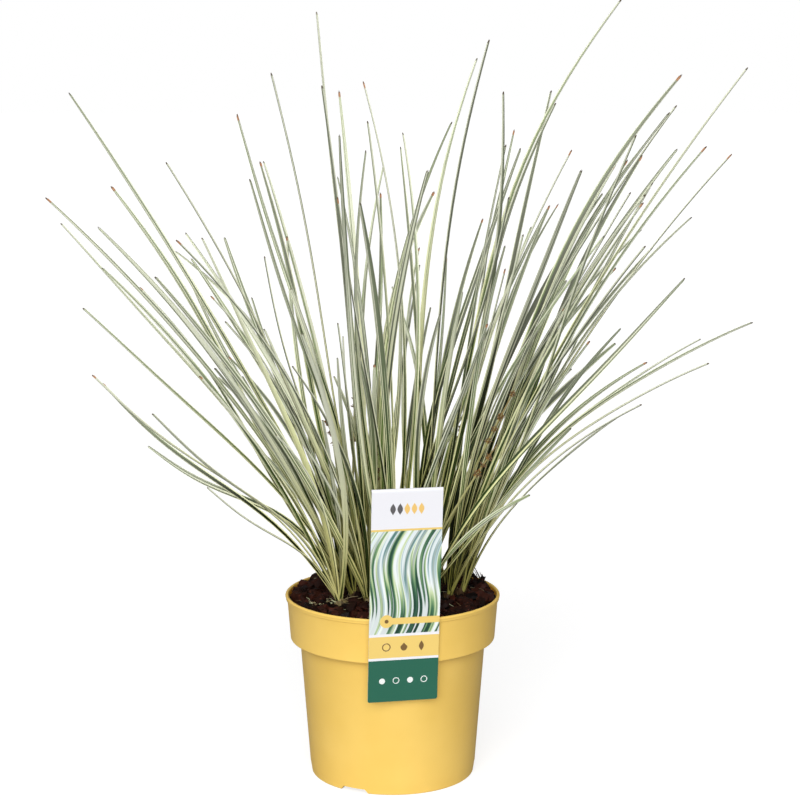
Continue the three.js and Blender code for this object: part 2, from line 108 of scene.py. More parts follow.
@contextmanager
def shaping(piece, choose=None):
    """Edit mode on a piece: all of it is selected, or the vertices whose places pass a test."""
    pick(piece)
    bpy.ops.object.mode_set(mode="EDIT")
    bpy.ops.mesh.select_mode(type="VERT")
    bpy.ops.mesh.select_all(action="DESELECT" if choose else "SELECT")
    if choose:
        bpy.ops.object.mode_set(mode="OBJECT")
        for vertex in piece.data.vertices:
            vertex.select = bool(choose(vertex.co))
        bpy.ops.object.mode_set(mode="EDIT")
    yield
    bpy.ops.object.mode_set(mode="OBJECT")


def pull(*way):
    """Draws what is selected out by a way, with new faces behind it."""
    bpy.ops.mesh.extrude_region_move(TRANSFORM_OT_translate={"value": way})


def turn_outwards():
    """Turns all the faces of the piece that is being shaped outwards."""
    bpy.ops.mesh.select_all(action="SELECT")
    bpy.ops.mesh.normals_make_consistent(inside=False)


def throw(name, profile, sides, unit_size=MM):
    """A closed body of (radius, height) pairs in millimetres or in another unit, drawn up ring by
    ring from a disc."""
    profile = [(radius * unit_size, height * unit_size) for radius, height in profile]
    radius, height = profile[0]
    body = new_piece(bpy.ops.mesh.primitive_circle_add, name, vertices=sides, radius=radius,
                     location=(0, 0, height), fill_type="NGON")
    with shaping(body):
        for next_radius, next_height in profile[1:]:
            pull(0, 0, next_height - height)
            grow = next_radius / radius
            bpy.ops.transform.resize(value=(grow, grow, 1), center_override=(0, 0, next_height))
            radius, height = next_radius, next_height
        turn_outwards()
    return body


def throw_away(*pieces):
    """Takes away pieces that have done their work."""
    for piece in pieces:
        bpy.data.objects.remove(piece)


def cut(body, cutters):
    """Cuts every cutter out of a body and throws the cutters away."""
    for cutter in cutters:
        difference = body.modifiers.new("cut", "BOOLEAN")
        difference.object = cutter
        difference.solver = "EXACT"
        bpy.context.view_layer.objects.active = body
        bpy.ops.object.modifier_apply(modifier=difference.name)
    throw_away(*cutters)


def arc(centre, radius, start, end, steps):
    """Points of an arc in (radius, height), from one angle in degrees to another."""
    angles = np.radians(np.linspace(start, end, steps))
    return [(centre[0] + radius * math.cos(a), centre[1] + radius * math.sin(a)) for a in angles]


lip_roll = (lip_radius - 1.3, pot_height - 1.3)
pot_profile = [
    (pad_radius, 0), (pad_radius + 3, floor_under), (foot_radius - foot_ring - 0.8, floor_under),
    (foot_radius - foot_ring, 0.3), (foot_radius - foot_ring + 0.3, 0), (foot_radius - 1.5, 0),
    *arc((foot_radius - 1.6, 1.0), 1.0, -60, 0, 4), (foot_radius + 0.4, foot_step - 0.9),
    (foot_radius + 0.64, foot_step), (body_top - 0.1, shelf - 1.2), (body_top + 0.5, shelf - 0.2),
    (body_top + 1.2, shelf), (collar_bottom - 1.6, shelf),
    *arc((collar_bottom - 1.5, shelf + 1.5), 1.5, -80, 0, 6), (collar_top, pot_height - lip_height - 1),
    (collar_top + 0.3, pot_height - lip_height - 0.3), (lip_radius - 0.5, pot_height - lip_height + 0.2),
    *arc(lip_roll, 1.3, -45, 140, 9), (inner_radius(pot_height - 2.6), pot_height - 2.6),
    (inner_radius(shelf + wall + 1.2), shelf + wall + 1.2),
    (inner_radius(shelf + wall + 0.1) - 1.2, shelf + wall),
    (inner_radius(shelf - 1) + 0.8, shelf + wall), (inner_radius(shelf - 1), shelf - 1),
    (inner_radius(floor_top) + 0.2, floor_top + 1.5), (inner_radius(floor_top) - 1.2, floor_top),
    (pad_radius + 3, floor_top), (pad_radius + 0.5, pad_top),
]
pot = throw("pot_shell", pot_profile, POT_SIDES)


def drain_cutter(turn):
    """A round drill through the pot's floor, at an angle in radians."""
    place = (drain_circle * MM * math.cos(turn), drain_circle * MM * math.sin(turn), floor_under * MM)
    return new_piece(bpy.ops.mesh.primitive_cylinder_add, "drill", vertices=32,
                     radius=drain_radius * MM, depth=12 * MM, location=place)


def notch_cutter(turn):
    """A block with sloped ends that cuts one notch through the foot ring, at an angle in degrees."""
    depth, height = foot_ring + 9, 4
    middle = foot_radius + 5 - depth / 2
    pick()
    bpy.ops.mesh.primitive_cube_add(size=1, location=(0, -middle * MM, (notch_height - height / 2) * MM))
    block = bpy.context.object
    block.scale = (notch_width * MM, depth * MM, height * MM)
    bpy.ops.object.transform_apply()
    with shaping(block, lambda co: co.z > notch_height * MM - 1e-5):
        draw_in = 1 - 6 / notch_width
        bpy.ops.transform.resize(value=(draw_in, 1, 1), center_override=(0, 0, 0))
    block.rotation_euler.z = math.radians(turn)
    bpy.ops.object.transform_apply()
    return block


cut(pot, [drain_cutter(i / drain_holes * math.tau) for i in range(drain_holes)])
cut(pot, [notch_cutter(turn) for turn in notch_turns])


def smooth(body, degrees):
    """Shades a body smooth, apart from its edges sharper than the angle."""
    pick(body)
    bpy.ops.object.shade_smooth_by_angle(angle=math.radians(degrees))


smooth(pot, 32)


def paint(red, green, blue):
    """A colour given as it looks on a screen, 0 to 255, as the linear colour that shaders take."""
    parts = [value / 255 for value in (red, green, blue)]
    return (*(p / 12.92 if p <= 0.04045 else ((p + 0.055) / 1.055) ** 2.4 for p in parts), 1)


class Value:
    """What a node of a material gives: a number, a place or a colour. Sums on it add nodes."""

    def __init__(self, socket):
        self.socket = socket

    def __add__(self, other):
        return maths("ADD", self, other)

    def __sub__(self, other):
        return maths("SUBTRACT", self, other)

    def __rsub__(self, other):
        return maths("SUBTRACT", other, self)

    def __mul__(self, other):
        return maths("MULTIPLY", self, other)


def source(made, kind, output=0, **settings):
    """Adds a node that takes nothing in, such as a point's own place, and gives one output."""
    node = made.node_tree.nodes.new("ShaderNode" + kind)
    for name, value in settings.items():
        setattr(node, name, value)
    return Value(node.outputs[output])


def step(kind, sockets, **settings):
    """Adds a node that works on values, numbers and colours, and gives its first output."""
    tree = next(value.socket.id_data for value in sockets.values() if isinstance(value, Value))
    node = tree.nodes.new("ShaderNode" + kind)
    for name, value in settings.items():
        setattr(node, name, value)
    for key, value in sockets.items():
        if isinstance(value, Value):
            tree.links.new(value.socket, node.inputs[key])
        else:
            node.inputs[key].default_value = value
    return Value(node.outputs[0])


def maths(operation, *values):
    """One sum on values or numbers."""
    return step("Math", dict(enumerate(values)), operation=operation)


def mixed(share, first, second, mode="MIX"):
    """Mixes two colours by a share."""
    return step("MixRGB", {0: share, 1: first, 2: second}, blend_type=mode)


def ranged(value, low, high, to_low=0.0, to_high=1.0):
    """Takes a value from one range to another, with soft ends, held inside the second."""
    sockets = {0: value, 1: low, 2: high, 3: to_low, 4: to_high}
    return step("MapRange", sockets, interpolation_type="SMOOTHSTEP")


def noise(place, scale, detail, roughness=0.5):
    """Soft random clouds at a place."""
    sockets = {"Vector": place, "Scale": scale, "Detail": detail, "Roughness": roughness}
    return step("TexNoise", sockets)


def parts_of(place):
    """The three numbers of a place."""
    return [Value(output) for output in step("SeparateXYZ", {0: place}).socket.node.outputs]


def wear(made, socket, value):
    """Sets one of the surface shader's own sockets."""
    shader = made.node_tree.nodes["Principled BSDF"]
    if isinstance(value, Value):
        made.node_tree.links.new(value.socket, shader.inputs[socket])
    else:
        shader.inputs[socket].default_value = value


def finish(name, roughness, specular=0.5):
    """A new material with an even roughness and shine."""
    made = bpy.data.materials.new(name)
    made.use_nodes = True
    wear(made, "Roughness", roughness)
    wear(made, "Specular IOR Level", specular)
    return made


def relief(made, height, strength, distance):
    """Raises the surface by a height pattern."""
    sockets = {"Height": height, "Strength": strength, "Distance": distance}
    wear(made, "Normal", step("Bump", sockets))


def coat(made, *pieces):
    """Gives pieces a material in place of any other."""
    for piece in pieces:
        piece.data.materials.clear()
        piece.data.materials.append(made)


pot_yellow = finish("yellow_polypropylene", 0.5, 0.3)
place = source(pot_yellow, "TexCoord", "Object")
cloudy, grain = noise(place, 22.0, 3.0), noise(place, 900.0, 2.0)
yellow = mixed(ranged(cloudy, 0.3, 0.7), paint(238, 198, 99), paint(243, 204, 107))
x, y, z = parts_of(place)
# The inside of the wall just under the lip is painted a deeper orange: painted shade and bounce light
# from the yellow walls.
shaded_radius, shaded_height = inner_radius(pot_height - lip_height) + 0.4, pot_height - 11
inner = maths("LESS_THAN", maths("SQRT", x * x + y * y), shaded_radius * MM)
inner = inner * maths("GREATER_THAN", z, shaded_height * MM)
wear(pot_yellow, "Base Color", mixed(inner, yellow, paint(218, 150, 48)))
wear(pot_yellow, "Roughness", ranged(grain, 0.3, 0.7, 0.44, 0.55))
relief(pot_yellow, grain, 0.12, 0.0002)
coat(pot_yellow, pot)
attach(pot, "root")
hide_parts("pot")

# The leafy shoots
# The rush is a tuft of sixteen shoots in two clumps. Each is a flat fan of stiff strap leaves that
# clasp one another at the foot. All sizes of the plant are in millimetres until it is made a mesh.

# Where each shoot stands, and the tips of its leading leaves as x, y, z, followed by the arch and
# the curl of those that are bent by their own weight.
shoot_plan = [
    ((-40, -30), [(-225, -60, 327, 10, 7), (-175, -110, 308, 9, 6), (-137, -90, 248, 6, 4),
                  (-227, 10, 311, 8, 6)]),
    ((-30, -8), [(-260, -40, 460), (-230, -60, 378, 11, 3), (-214, -90, 440), (-124, -150, 344)]),
    ((-40, 14), [(-267, 60, 433), (-229, 90, 463), (-201, 60, 252, 16, 8), (-211, 120, 376)]),
    ((-18, -26), [(-253, 30, 538, 12, 0), (-169, -120, 407), (-100, -140, 477), (-50, -90, 543)]),
    ((-17, 12), [(-168, -60, 486), (-124, 60, 519), (-88, -50, 552), (-59, 40, 599)]),
    ((-28, 40), [(-171, 150, 399), (-144, 140, 418), (-107, 130, 480), (-45, 120, 540)]),
    ((3, -40), [(-35, -160, 509), (-21, -180, 461), (-18, -60, 515)]),
    ((1, -6), [(-23, 70, 547), (25, -100, 483)]),
    ((-5, 34), [(-8, 150, 476), (36, 130, 455), (47, 60, 515)]),
    ((24, -22), [(78, -120, 539), (72, -50, 576), (99, -130, 250, 8, 0), (126, -150, 303, 10, 0)]),
    ((22, 12), [(68, 110, 565), (128, 90, 539), (175, 20, 609)]),
    ((44, -8), [(199, -90, 522), (130, -170, 486), (171, -120, 507), (181, -110, 313, 17, 0)]),
    ((42, 22), [(214, -30, 528), (231, 70, 551), (268, -20, 557, 16, 0), (120, -60, 530)]),
    ((54, 5), [(276, -30, 363, 38, 4), (232, -90, 342, 30, 3), (250, 60, 340, 34, 4), (184, -80, 463),
               (180, -130, 431)]),
    ((20, 50), [(181, 180, 452), (189, 140, 326), (206, 110, 424)]),
    ((52, 46), [(271, 60, 488, 21, 0), (238, 130, 490), (213, 150, 497), (205, 40, 321, 20, 0)]),
]
# Where each spike stands, and its tip.
spikes = [
    ((-14, -8), (-50, -40, 290)), ((-3, 14), (-15, -4, 266)),
    ((22, -5), (93, -40, 313)), ((10, -28), (79, -62, 275)),
    ((32, 36), (57, 30, 282)), ((-33, 28), (-31, 60, 296)),
]
soil_edge, soil_crown = 140.5, 146
fill_leaves, middle_fill, fill_spread = 6, 3, 200
crossing_height = 30  # above the soil, where the leaves of one shoot begin to keep apart
culm_turn = 2.4  # radians from the fan of one shoot to the next one's
culm_above = 6
culm_length, culm_width = 5.6, 4.3
most_attempts = 40
leaf_gap, shoot_gap = 0.4, 0.8
check_steps = 12
leaf_half_depth = 0.8
label_width, label_above, label_below = 54, 103.3, 64.6
label_turn, label_shift, label_lean = 12, -8.8, 6.4
rim_zone, label_zone, foot_zone = 72, (74, 104), 9.5  # which the leaves keep out of
rim_room, label_side_room, label_top_room, culm_room = 8, 5, 6, 4  # over and beside those zones
most_reach = 16  # lengths of leaves that are further apart than this can't meet
spike_flowers, spike_reach, head_spacing = 5, 4.4, 0.058
stalk_radius, stalk_width = 1.6, 2.6
shoots = [
    {"number": number, "at": at, "tips": tips, "leaves": []}
    for number, (at, tips) in enumerate(shoot_plan)
]
feet = [at for at, _ in shoot_plan + spikes]


def soil_height(x, y):
    """The mound of potting mix, heaped against the wall at the back on either side."""
    left_heap = 5 * np.exp(-((x + 50) ** 2 + (y - 55) ** 2) / 30**2)
    right_heap = 4.5 * np.exp(-((x - 68) ** 2 + (y - 34) ** 2) / 20**2)
    mound = soil_edge + (soil_crown - soil_edge) * (1 - (x * x + y * y) / 6600)
    waves = 0.9 * np.sin(x / 6 + 1.3) * np.cos(y / 5.5) + 0.5 * np.sin((x + y) / 4)
    return mound + left_heap + right_heap + waves


def seeded(seed):
    """A small generator of even draws, so that the plant grows the same every time."""
    state = (seed * 7919 + 104729) % 4294967296

    def draw(low, high):
        nonlocal state
        state = (1664525 * state + 1013904223) % 4294967296
        return low + ((high - low) * state) / 4294967296

    for _ in range(4):
        draw(0, 1)
    return draw


def unit(vector):
    """A vector, or each row of several, made one long."""
    return vector / np.linalg.norm(vector, axis=-1, keepdims=True)


def spun(x, y, angle):
    """A pair of coordinates turned by an angle in radians."""
    return x * math.cos(angle) - y * math.sin(angle), x * math.sin(angle) + y * math.cos(angle)


def leaf_line(leaf):
    """A leaf's middle line and the frame of its section, both for an array of shares along it."""
    root, tip = np.array(leaf["root"], float), np.array(leaf["tip"], float)
    chord = tip - root
    along = unit(chord)
    up = unit(np.array([0, 0, 1.0]) - along * along[2])
    side = np.cross(along, up)

    def point_at(t):
        t = np.asarray(t, float)[:, None]
        bow = 4 * t * (1 - t)
        rise = leaf["arch"] * bow + leaf["curl"] * np.sin(2 * math.pi * t)
        return root + chord * t + up * rise + side * leaf["sway"] * bow

    def frame_at(t):
        t = np.asarray(t, float)
        ahead = unit(point_at(t + 0.01) - point_at(t - 0.01))
        face = unit(up - ahead * (ahead @ up)[:, None])
        across = np.cross(ahead, face)
        angle = (leaf["twist"] + leaf["turn"] * t)[:, None]
        cos, sin = np.cos(angle), np.sin(angle)
        return across * cos + face * sin, face * cos - across * sin

    return point_at, frame_at


def leaf_width(leaf, t):
    """A leaf's width at a share of its length: widest near its middle, narrow at its tip."""
    return leaf["width"] * (0.64 + 1.2 * t - 1.1 * t**2 - 0.42 * t**4)


def check_points(leaf, owner, room=None):
    """The lengths of a leaf or a spike, one a row. Each has eleven numbers for each of its ends,
    which are the place, the directions across and out of the face, and the section's reach in
    both, and then its owner's number."""
    point_at, frame_at = leaf_line(leaf)
    t = np.arange(check_steps + 1) / check_steps
    across, face = frame_at(t)
    half_width = leaf_width(leaf, t) / 2 if room is None else room(t)
    depth = np.full(len(t), leaf_half_depth) if room is None else room(t)
    points = np.column_stack([point_at(t), across, face, half_width, depth])
    return np.hstack([points[:-1], points[1:], np.full((check_steps, 1), owner)])


def reach(point, direction):
    """How far a section reaches from its middle in a direction."""
    across = np.abs((point[:, 3:6] * direction).sum(1))
    face = np.abs((point[:, 6:9] * direction).sum(1))
    return point[:, 9] * across + point[:, 10] * face


def too_close(mine, theirs):
    """True if any length of a new leaf comes too near to one that has grown already. Leaves of one
    shoot may touch near the foot."""
    start_a, end_a, start_b, end_b = mine[:, 0:3], mine[:, 11:14], theirs[:, 0:3], theirs[:, 11:14]
    apart = np.linalg.norm(((start_a + end_a)[:, None] - (start_b + end_b)[None]) / 2, axis=2)
    half_a = np.linalg.norm(end_a - start_a, axis=1) / 2
    half_b = np.linalg.norm(end_b - start_b, axis=1) / 2
    i, j = np.nonzero(apart < half_a[:, None] + half_b[None] + most_reach)
    same = mine[i, 22] == theirs[j, 22]
    free = soil_crown + crossing_height
    kept = ~same | ((mine[i, 2] >= free) & (theirs[j, 2] >= free))
    i, j, same = i[kept], j[kept], same[kept]
    if not len(i):
        return False
    a0, b0 = start_a[i], start_b[j]
    da, db, gap = end_a[i] - a0, end_b[j] - b0, a0 - b0
    a, e, b = (da * da).sum(1), (db * db).sum(1), (da * db).sum(1)
    c, f = (da * gap).sum(1), (db * gap).sum(1)
    below = a * e - b * b
    slanted = below > 1e-9
    s = np.where(slanted, np.clip((b * f - c * e) / np.where(slanted, below, 1), 0, 1), 0)
    t = np.clip((b * s + f) / e, 0, 1)
    s = np.clip((b * t - c) / a, 0, 1)
    between = (b0 + db * t[:, None]) - (a0 + da * s[:, None])
    distance = np.linalg.norm(between, axis=1)
    direction = between / np.maximum(distance, 1e-6)[:, None]
    near_a = np.where((s < 0.5)[:, None], mine[i, 0:11], mine[i, 11:22])
    near_b = np.where((t < 0.5)[:, None], theirs[j, 0:11], theirs[j, 11:22])
    room = reach(near_a, direction) + reach(near_b, direction) + np.where(same, leaf_gap, shoot_gap)
    return bool(((distance < 1e-6) | (distance < room)).any())


def hits_holder(mine, foot):
    """True if a leaf meets the pot's rim, the label or another stem's foot."""
    x, y, z = np.vstack([mine[:, 0:3], mine[-1:, 11:14]]).T
    if ((np.hypot(x, y) > rim_zone) & (z < pot_height + rim_room)).any():
        return True
    sideways, back = spun(x, y, -math.radians(label_turn))
    in_path = (-back > label_zone[0]) & (-back < label_zone[1])
    in_path &= np.abs(sideways - label_shift) < label_width / 2 + label_side_room
    if (in_path & (z < pot_height + label_above + label_top_room)).any():
        return True
    low = z < soil_crown + culm_above + culm_room
    others = [other for other in feet if other != foot]
    return any((low & (np.hypot(x - a, y - b) < foot_zone)).any() for a, b in others)


def draw_leaf(shoot, index, attempt):
    """One leaf of a shoot. Leading leaves keep their tips, and the others follow the fan."""
    x, y = shoot["at"]
    draw = seeded(1 + shoot["number"] * 977 + index * 61 + attempt * 7)
    tips = shoot["tips"]
    lead = tips[index] if index < len(tips) else None
    if lead:
        play = 3 + attempt * 1.5
        tip = [lead[n] + draw(-play, play) * loose for n, loose in enumerate((0.4, 1, 0.4))]
    else:
        fan = shoot["number"] * culm_turn
        turn_side = 1 if index % 2 else -1
        spread = 0.04 + 0.22 * ((index - len(tips) + draw(0, 1)) / fill_leaves)
        in_right_clump = x > 15  # which is taller, and whose shoots all lean alike
        clump_lean = 0.2 + 0.003 * x if in_right_clump else 0.0085 * x
        lean_x = clump_lean + math.cos(fan) * turn_side * spread + draw(-0.34, 0.34)
        lean_y = (y / 45) * 0.34 + math.sin(fan) * turn_side * spread * 1.2 + draw(-0.2, 0.2)
        tall = draw(200, 370) + (40 if in_right_clump else 0) - 60 * spread
        length = tall * (0.7 if index % 5 == 4 else 1)
        lean = math.hypot(lean_x, lean_y)
        scale = min(length / math.hypot(lean, 1), fill_spread / lean)
        tip = [x + lean_x * scale, y + lean_y * scale, soil_crown + scale]
    heading = math.atan2(tip[1] - y, tip[0] - x)
    run = math.hypot(tip[0] - x, tip[1] - y)
    length = math.hypot(run, tip[2] - soil_crown)
    flatness = run / length
    start = 3.2 * min(1, flatness * 1.6)
    root = (x + start * math.cos(heading), y + start * math.sin(heading), soil_height(x, y) + 2.5)
    bent = lead is not None and len(lead) > 3
    return {
        "root": root,
        "tip": tip,
        "arch": lead[3] if bent else length * (0.03 + 0.08 * flatness**2.2 + draw(-0.03, 0.03)),
        "curl": lead[4] if bent else length * draw(-0.016, 0.016),
        "sway": length * draw(-0.06, 0.06),
        "width": draw(3.2, 4.8) + (0.7 if lead else 0) + (1.1 if index % 4 == 1 else 0),
        "twist": draw(-0.7, 0.7) - 0.8 * math.cos(heading),  # which shows more of its face
        "turn": draw(-0.9, 0.9),
    }


def spike_stalk(at, top):
    """A flower spike's stalk, drawn like a leaf."""
    root = (*at, soil_height(*at) - 1)
    line = {"root": root, "tip": top, "arch": 3, "curl": 0, "sway": 0}
    return {**line, "width": stalk_width, "twist": 0.3, "turn": 0.4}


def spike_room(t):
    """The space that a spike takes round its stalk, more where its flowers are."""
    lowest = 1 - head_spacing * (spike_flowers + 0.5)
    return np.where(t > lowest - 0.05, spike_reach, stalk_radius)


def leaves_of(shoot):
    """How many leaves a shoot grows: fewer where it stands between the two clumps."""
    return len(shoot["tips"]) + (middle_fill if abs(shoot["at"][0]) < 10 else fill_leaves)


grown = [check_points(spike_stalk(*spike), -1 - n, spike_room) for n, spike in enumerate(spikes)]
for index in range(max(leaves_of(shoot) for shoot in shoots)):
    for shoot in shoots:
        if index >= leaves_of(shoot):
            continue
        for attempt in range(most_attempts):
            leaf = draw_leaf(shoot, index, attempt)
            points = check_points(leaf, shoot["number"])
            if hits_holder(points, shoot["at"]) or too_close(points, np.vstack(grown)):
                continue
            grown.append(points)
            shoot["leaves"].append(leaf)
            break


BLADE_FOOT = 0.02  # share of the blade below its root, which clasps the shoot and stands in the soil
blade_channel, blade_sheet = 0.8, 0.5  # depth of the blade's channel, and its thickness
blade_lift = 0.35  # of the channel's edges above the leaf's own line
blade_columns, blade_rows = 6, 24
blade_end = 0.998  # share of a leaf's own line at which its blade ends
sheath_depth, core_depth = 5, 8  # below the top of the mix
core_share = 0.96  # of the culm's size, inside the sheaths
clasp_share = 0.16  # of the blade, along which it folds and widens towards its foot


def flat_blade(name, columns, rows):
    """A sheet one unit wide and one long, across X and up Y, ready to be shaped."""
    return new_piece(bpy.ops.mesh.primitive_grid_add, name, x_subdivisions=columns,
                     y_subdivisions=rows, size=1, location=(0, 0.5, 0))


def channel_at(x):
    """How far the blade sinks below its edges, at a share across it."""
    return blade_channel * (1 - (2 * x) ** 2)


def thickened(sheet, thickness):
    """Gives a sheet its thickness downwards and closes it."""
    with shaping(sheet):
        pull(0, 0, -thickness)
        turn_outwards()


def leaf_blade():
    """The leaf that all others are copied from, laid flat: X is its share across, Y its share
    along and Z its depth in millimetres. It is channelled, and ends in two small teeth."""
    blade = flat_blade("blade", blade_columns, blade_rows)
    for vertex in blade.data.vertices:
        vertex.co.y = 1 - (1 - vertex.co.y) ** 1.25
    with shaping(blade):
        for height in (0.992, 0.9965):
            bpy.ops.mesh.select_all(action="SELECT")
            bpy.ops.mesh.bisect(plane_co=(0, height, 0), plane_no=(0, 1, 0))
    with shaping(blade, lambda co: co.y < 1e-5):
        for _ in range(2):
            pull(0, -BLADE_FOOT / 2, 0)
    teeth = {3: -0.0035, 2: 0.0015, 1: -0.0005, 0: -0.0030}  # from the blade's edges to its middle
    for vertex in blade.data.vertices:
        column = round(abs(vertex.co.x) * blade_columns)
        vertex.co.z = -channel_at(vertex.co.x)
        if vertex.co.y > 0.9999:
            vertex.co.x *= 0.62
            vertex.co.y += teeth[column]
    thickened(blade, blade_sheet)
    return blade


def places_of(mesh):
    """The places of a mesh's vertices."""
    places = np.empty(len(mesh.vertices) * 3, np.float32)
    mesh.vertices.foreach_get("co", places)
    return places.reshape(-1, 3).astype(float)


def mark_map(piece, across, along):
    """Gives a piece its own map: a number across it and one along it at each vertex."""
    mesh = piece.data
    for other in list(mesh.uv_layers):
        mesh.uv_layers.remove(other)
    corners = np.empty(len(mesh.loops), np.int32)
    mesh.loops.foreach_get("vertex_index", corners)
    shares = [np.broadcast_to(share, len(mesh.vertices)) for share in (across, along)]
    layer = mesh.uv_layers.new(name="blade")
    layer.uv.foreach_set("vector", np.column_stack(shares)[corners].astype(np.float32).ravel())


def copy_at(pattern, places, seed, dry=0.0, side=0.0):
    """A copy of a pattern with its own mesh, its vertices at new places in millimetres. It carries
    its seed, how dry it is, and which of its vertices are on the underside."""
    made = bpy.data.objects.new(pattern.name, pattern.data.copy())
    bpy.context.scene.collection.objects.link(made)
    made.data.vertices.foreach_set("co", (np.asarray(places) * MM).astype(np.float32).ravel())
    traits = made.data.attributes.new("leaf", "FLOAT_VECTOR", "POINT")
    rows = np.column_stack([np.broadcast_to(trait, len(places)) for trait in (seed, dry, side)])
    traits.data.foreach_set("vector", rows.astype(np.float32).ravel())
    return made


def bound_together(name, pieces):
    """Joins finished copies in one piece."""
    pick(*pieces)
    bpy.ops.object.join()
    whole = bpy.context.object
    whole.name = whole.data.name = name
    return whole


blade = leaf_blade()
blade_places = places_of(blade.data)
mark_map(blade, blade_places[:, 0] + 0.5, blade_places[:, 1])
blade_under = (blade_places[:, 2] + channel_at(blade_places[:, 0]) < -blade_sheet / 2).astype(float)


def grow_leaf(leaf, seed):
    """Lays a copy of the blade along a leaf's line. Towards its foot it folds and widens."""
    point_at, frame_at = leaf_line(leaf)
    x, along, z = blade_places.T
    t = np.clip(along * blade_end, 0, 1)
    across, face = frame_at(t)
    spots = point_at(t)
    ahead = unit(point_at(np.array([0.01])) - point_at(np.array([0.0])))[0]
    foot_length = min(14.0, 6.5 / max(ahead[2], 0.3))
    below = np.clip(-along / BLADE_FOOT, 0, 1)
    spots = spots - ahead * (below * foot_length)[:, None]
    clasp = np.clip(1 - along / clasp_share, 0, 1) ** 2
    widths = leaf_width(leaf, t) * (1 + 0.3 * clasp)
    depth = z + blade_lift - channel_at(x) * 0.9 * clasp
    places = spots + across * (x * widths)[:, None] + face * depth[:, None]
    return copy_at(blade, places, seed, side=blade_under)


def sheath_pattern():
    """A dry sheath, laid flat as the blade is: wide at its foot and drawn to a point."""
    sheath = flat_blade("sheath", 6, 7)
    for vertex in sheath.data.vertices:
        vertex.co.x *= (1 - vertex.co.y**2.6) * 0.9 + 0.1
    thickened(sheath, 0.4)
    places = places_of(sheath.data)
    mark_map(sheath, places[:, 0] + 0.5, places[:, 1] * 0.06)
    return sheath, places


sheath, sheath_places = sheath_pattern()


def wrap_sheath(shoot, turn, height, wrap, seed, dry):
    """Wraps a copy of the sheath round a shoot's foot."""
    x, y = shoot["at"]
    fan = shoot["number"] * culm_turn
    share, up, depth = sheath_places.T
    angle = turn + share * wrap
    out = 1.03 + 0.02 * up - 0.14 * up**2
    a, b = culm_length * out + depth, culm_width * out + depth
    flat_x, flat_y = spun(a * np.cos(angle), b * np.sin(angle), fan)
    lean = 0.06 * height * up**2
    places = np.column_stack([
        x + flat_x + lean * math.cos(turn + fan), y + flat_y + lean * math.sin(turn + fan),
        soil_height(x, y) - sheath_depth + up * (height + sheath_depth),
    ])
    return copy_at(sheath, places, seed, dry)


def culm_core():
    """The solid foot inside the sheaths, laid out about its own middle, one unit in radius."""
    core = throw("core", [(1, 0), (1, 8), (0.8, 9.5), (0.3, 10.5)], 16, 1)
    places = places_of(core.data)
    mark_map(core, 0.3, places[:, 2] * 0.002)
    return core, places


core, core_places = culm_core()


def grow_core(shoot, seed):
    """Stands a copy of the core in a shoot's foot."""
    x, y = shoot["at"]
    flat_x, flat_y, up = (core_places * (culm_length * core_share, culm_width * core_share, 1)).T
    flat_x, flat_y = spun(flat_x, flat_y, shoot["number"] * culm_turn)
    places = np.column_stack([x + flat_x, y + flat_y, soil_height(x, y) - core_depth + up])
    return copy_at(core, places, seed, 0.9)


def blade_map(made):
    """A piece's own map: how far across it, and how far along."""
    return parts_of(source(made, "UVMap", uv_map="blade"))[:2]


def traits_of(made):
    """What a copy carries: its seed, how dry it is, and its third trait."""
    return parts_of(source(made, "Attribute", attribute_name="leaf"))


def chance(seed, factor):
    """Another even number between 0 and 1 from a leaf's seed."""
    return maths("FRACT", seed * factor)


def dimmed(colour, red, green, blue):
    """A colour with each of its three parts times a value."""
    return mixed(1.0, colour, step("CombineXYZ", {0: red, 1: green, 2: blue}), "MULTIPLY")


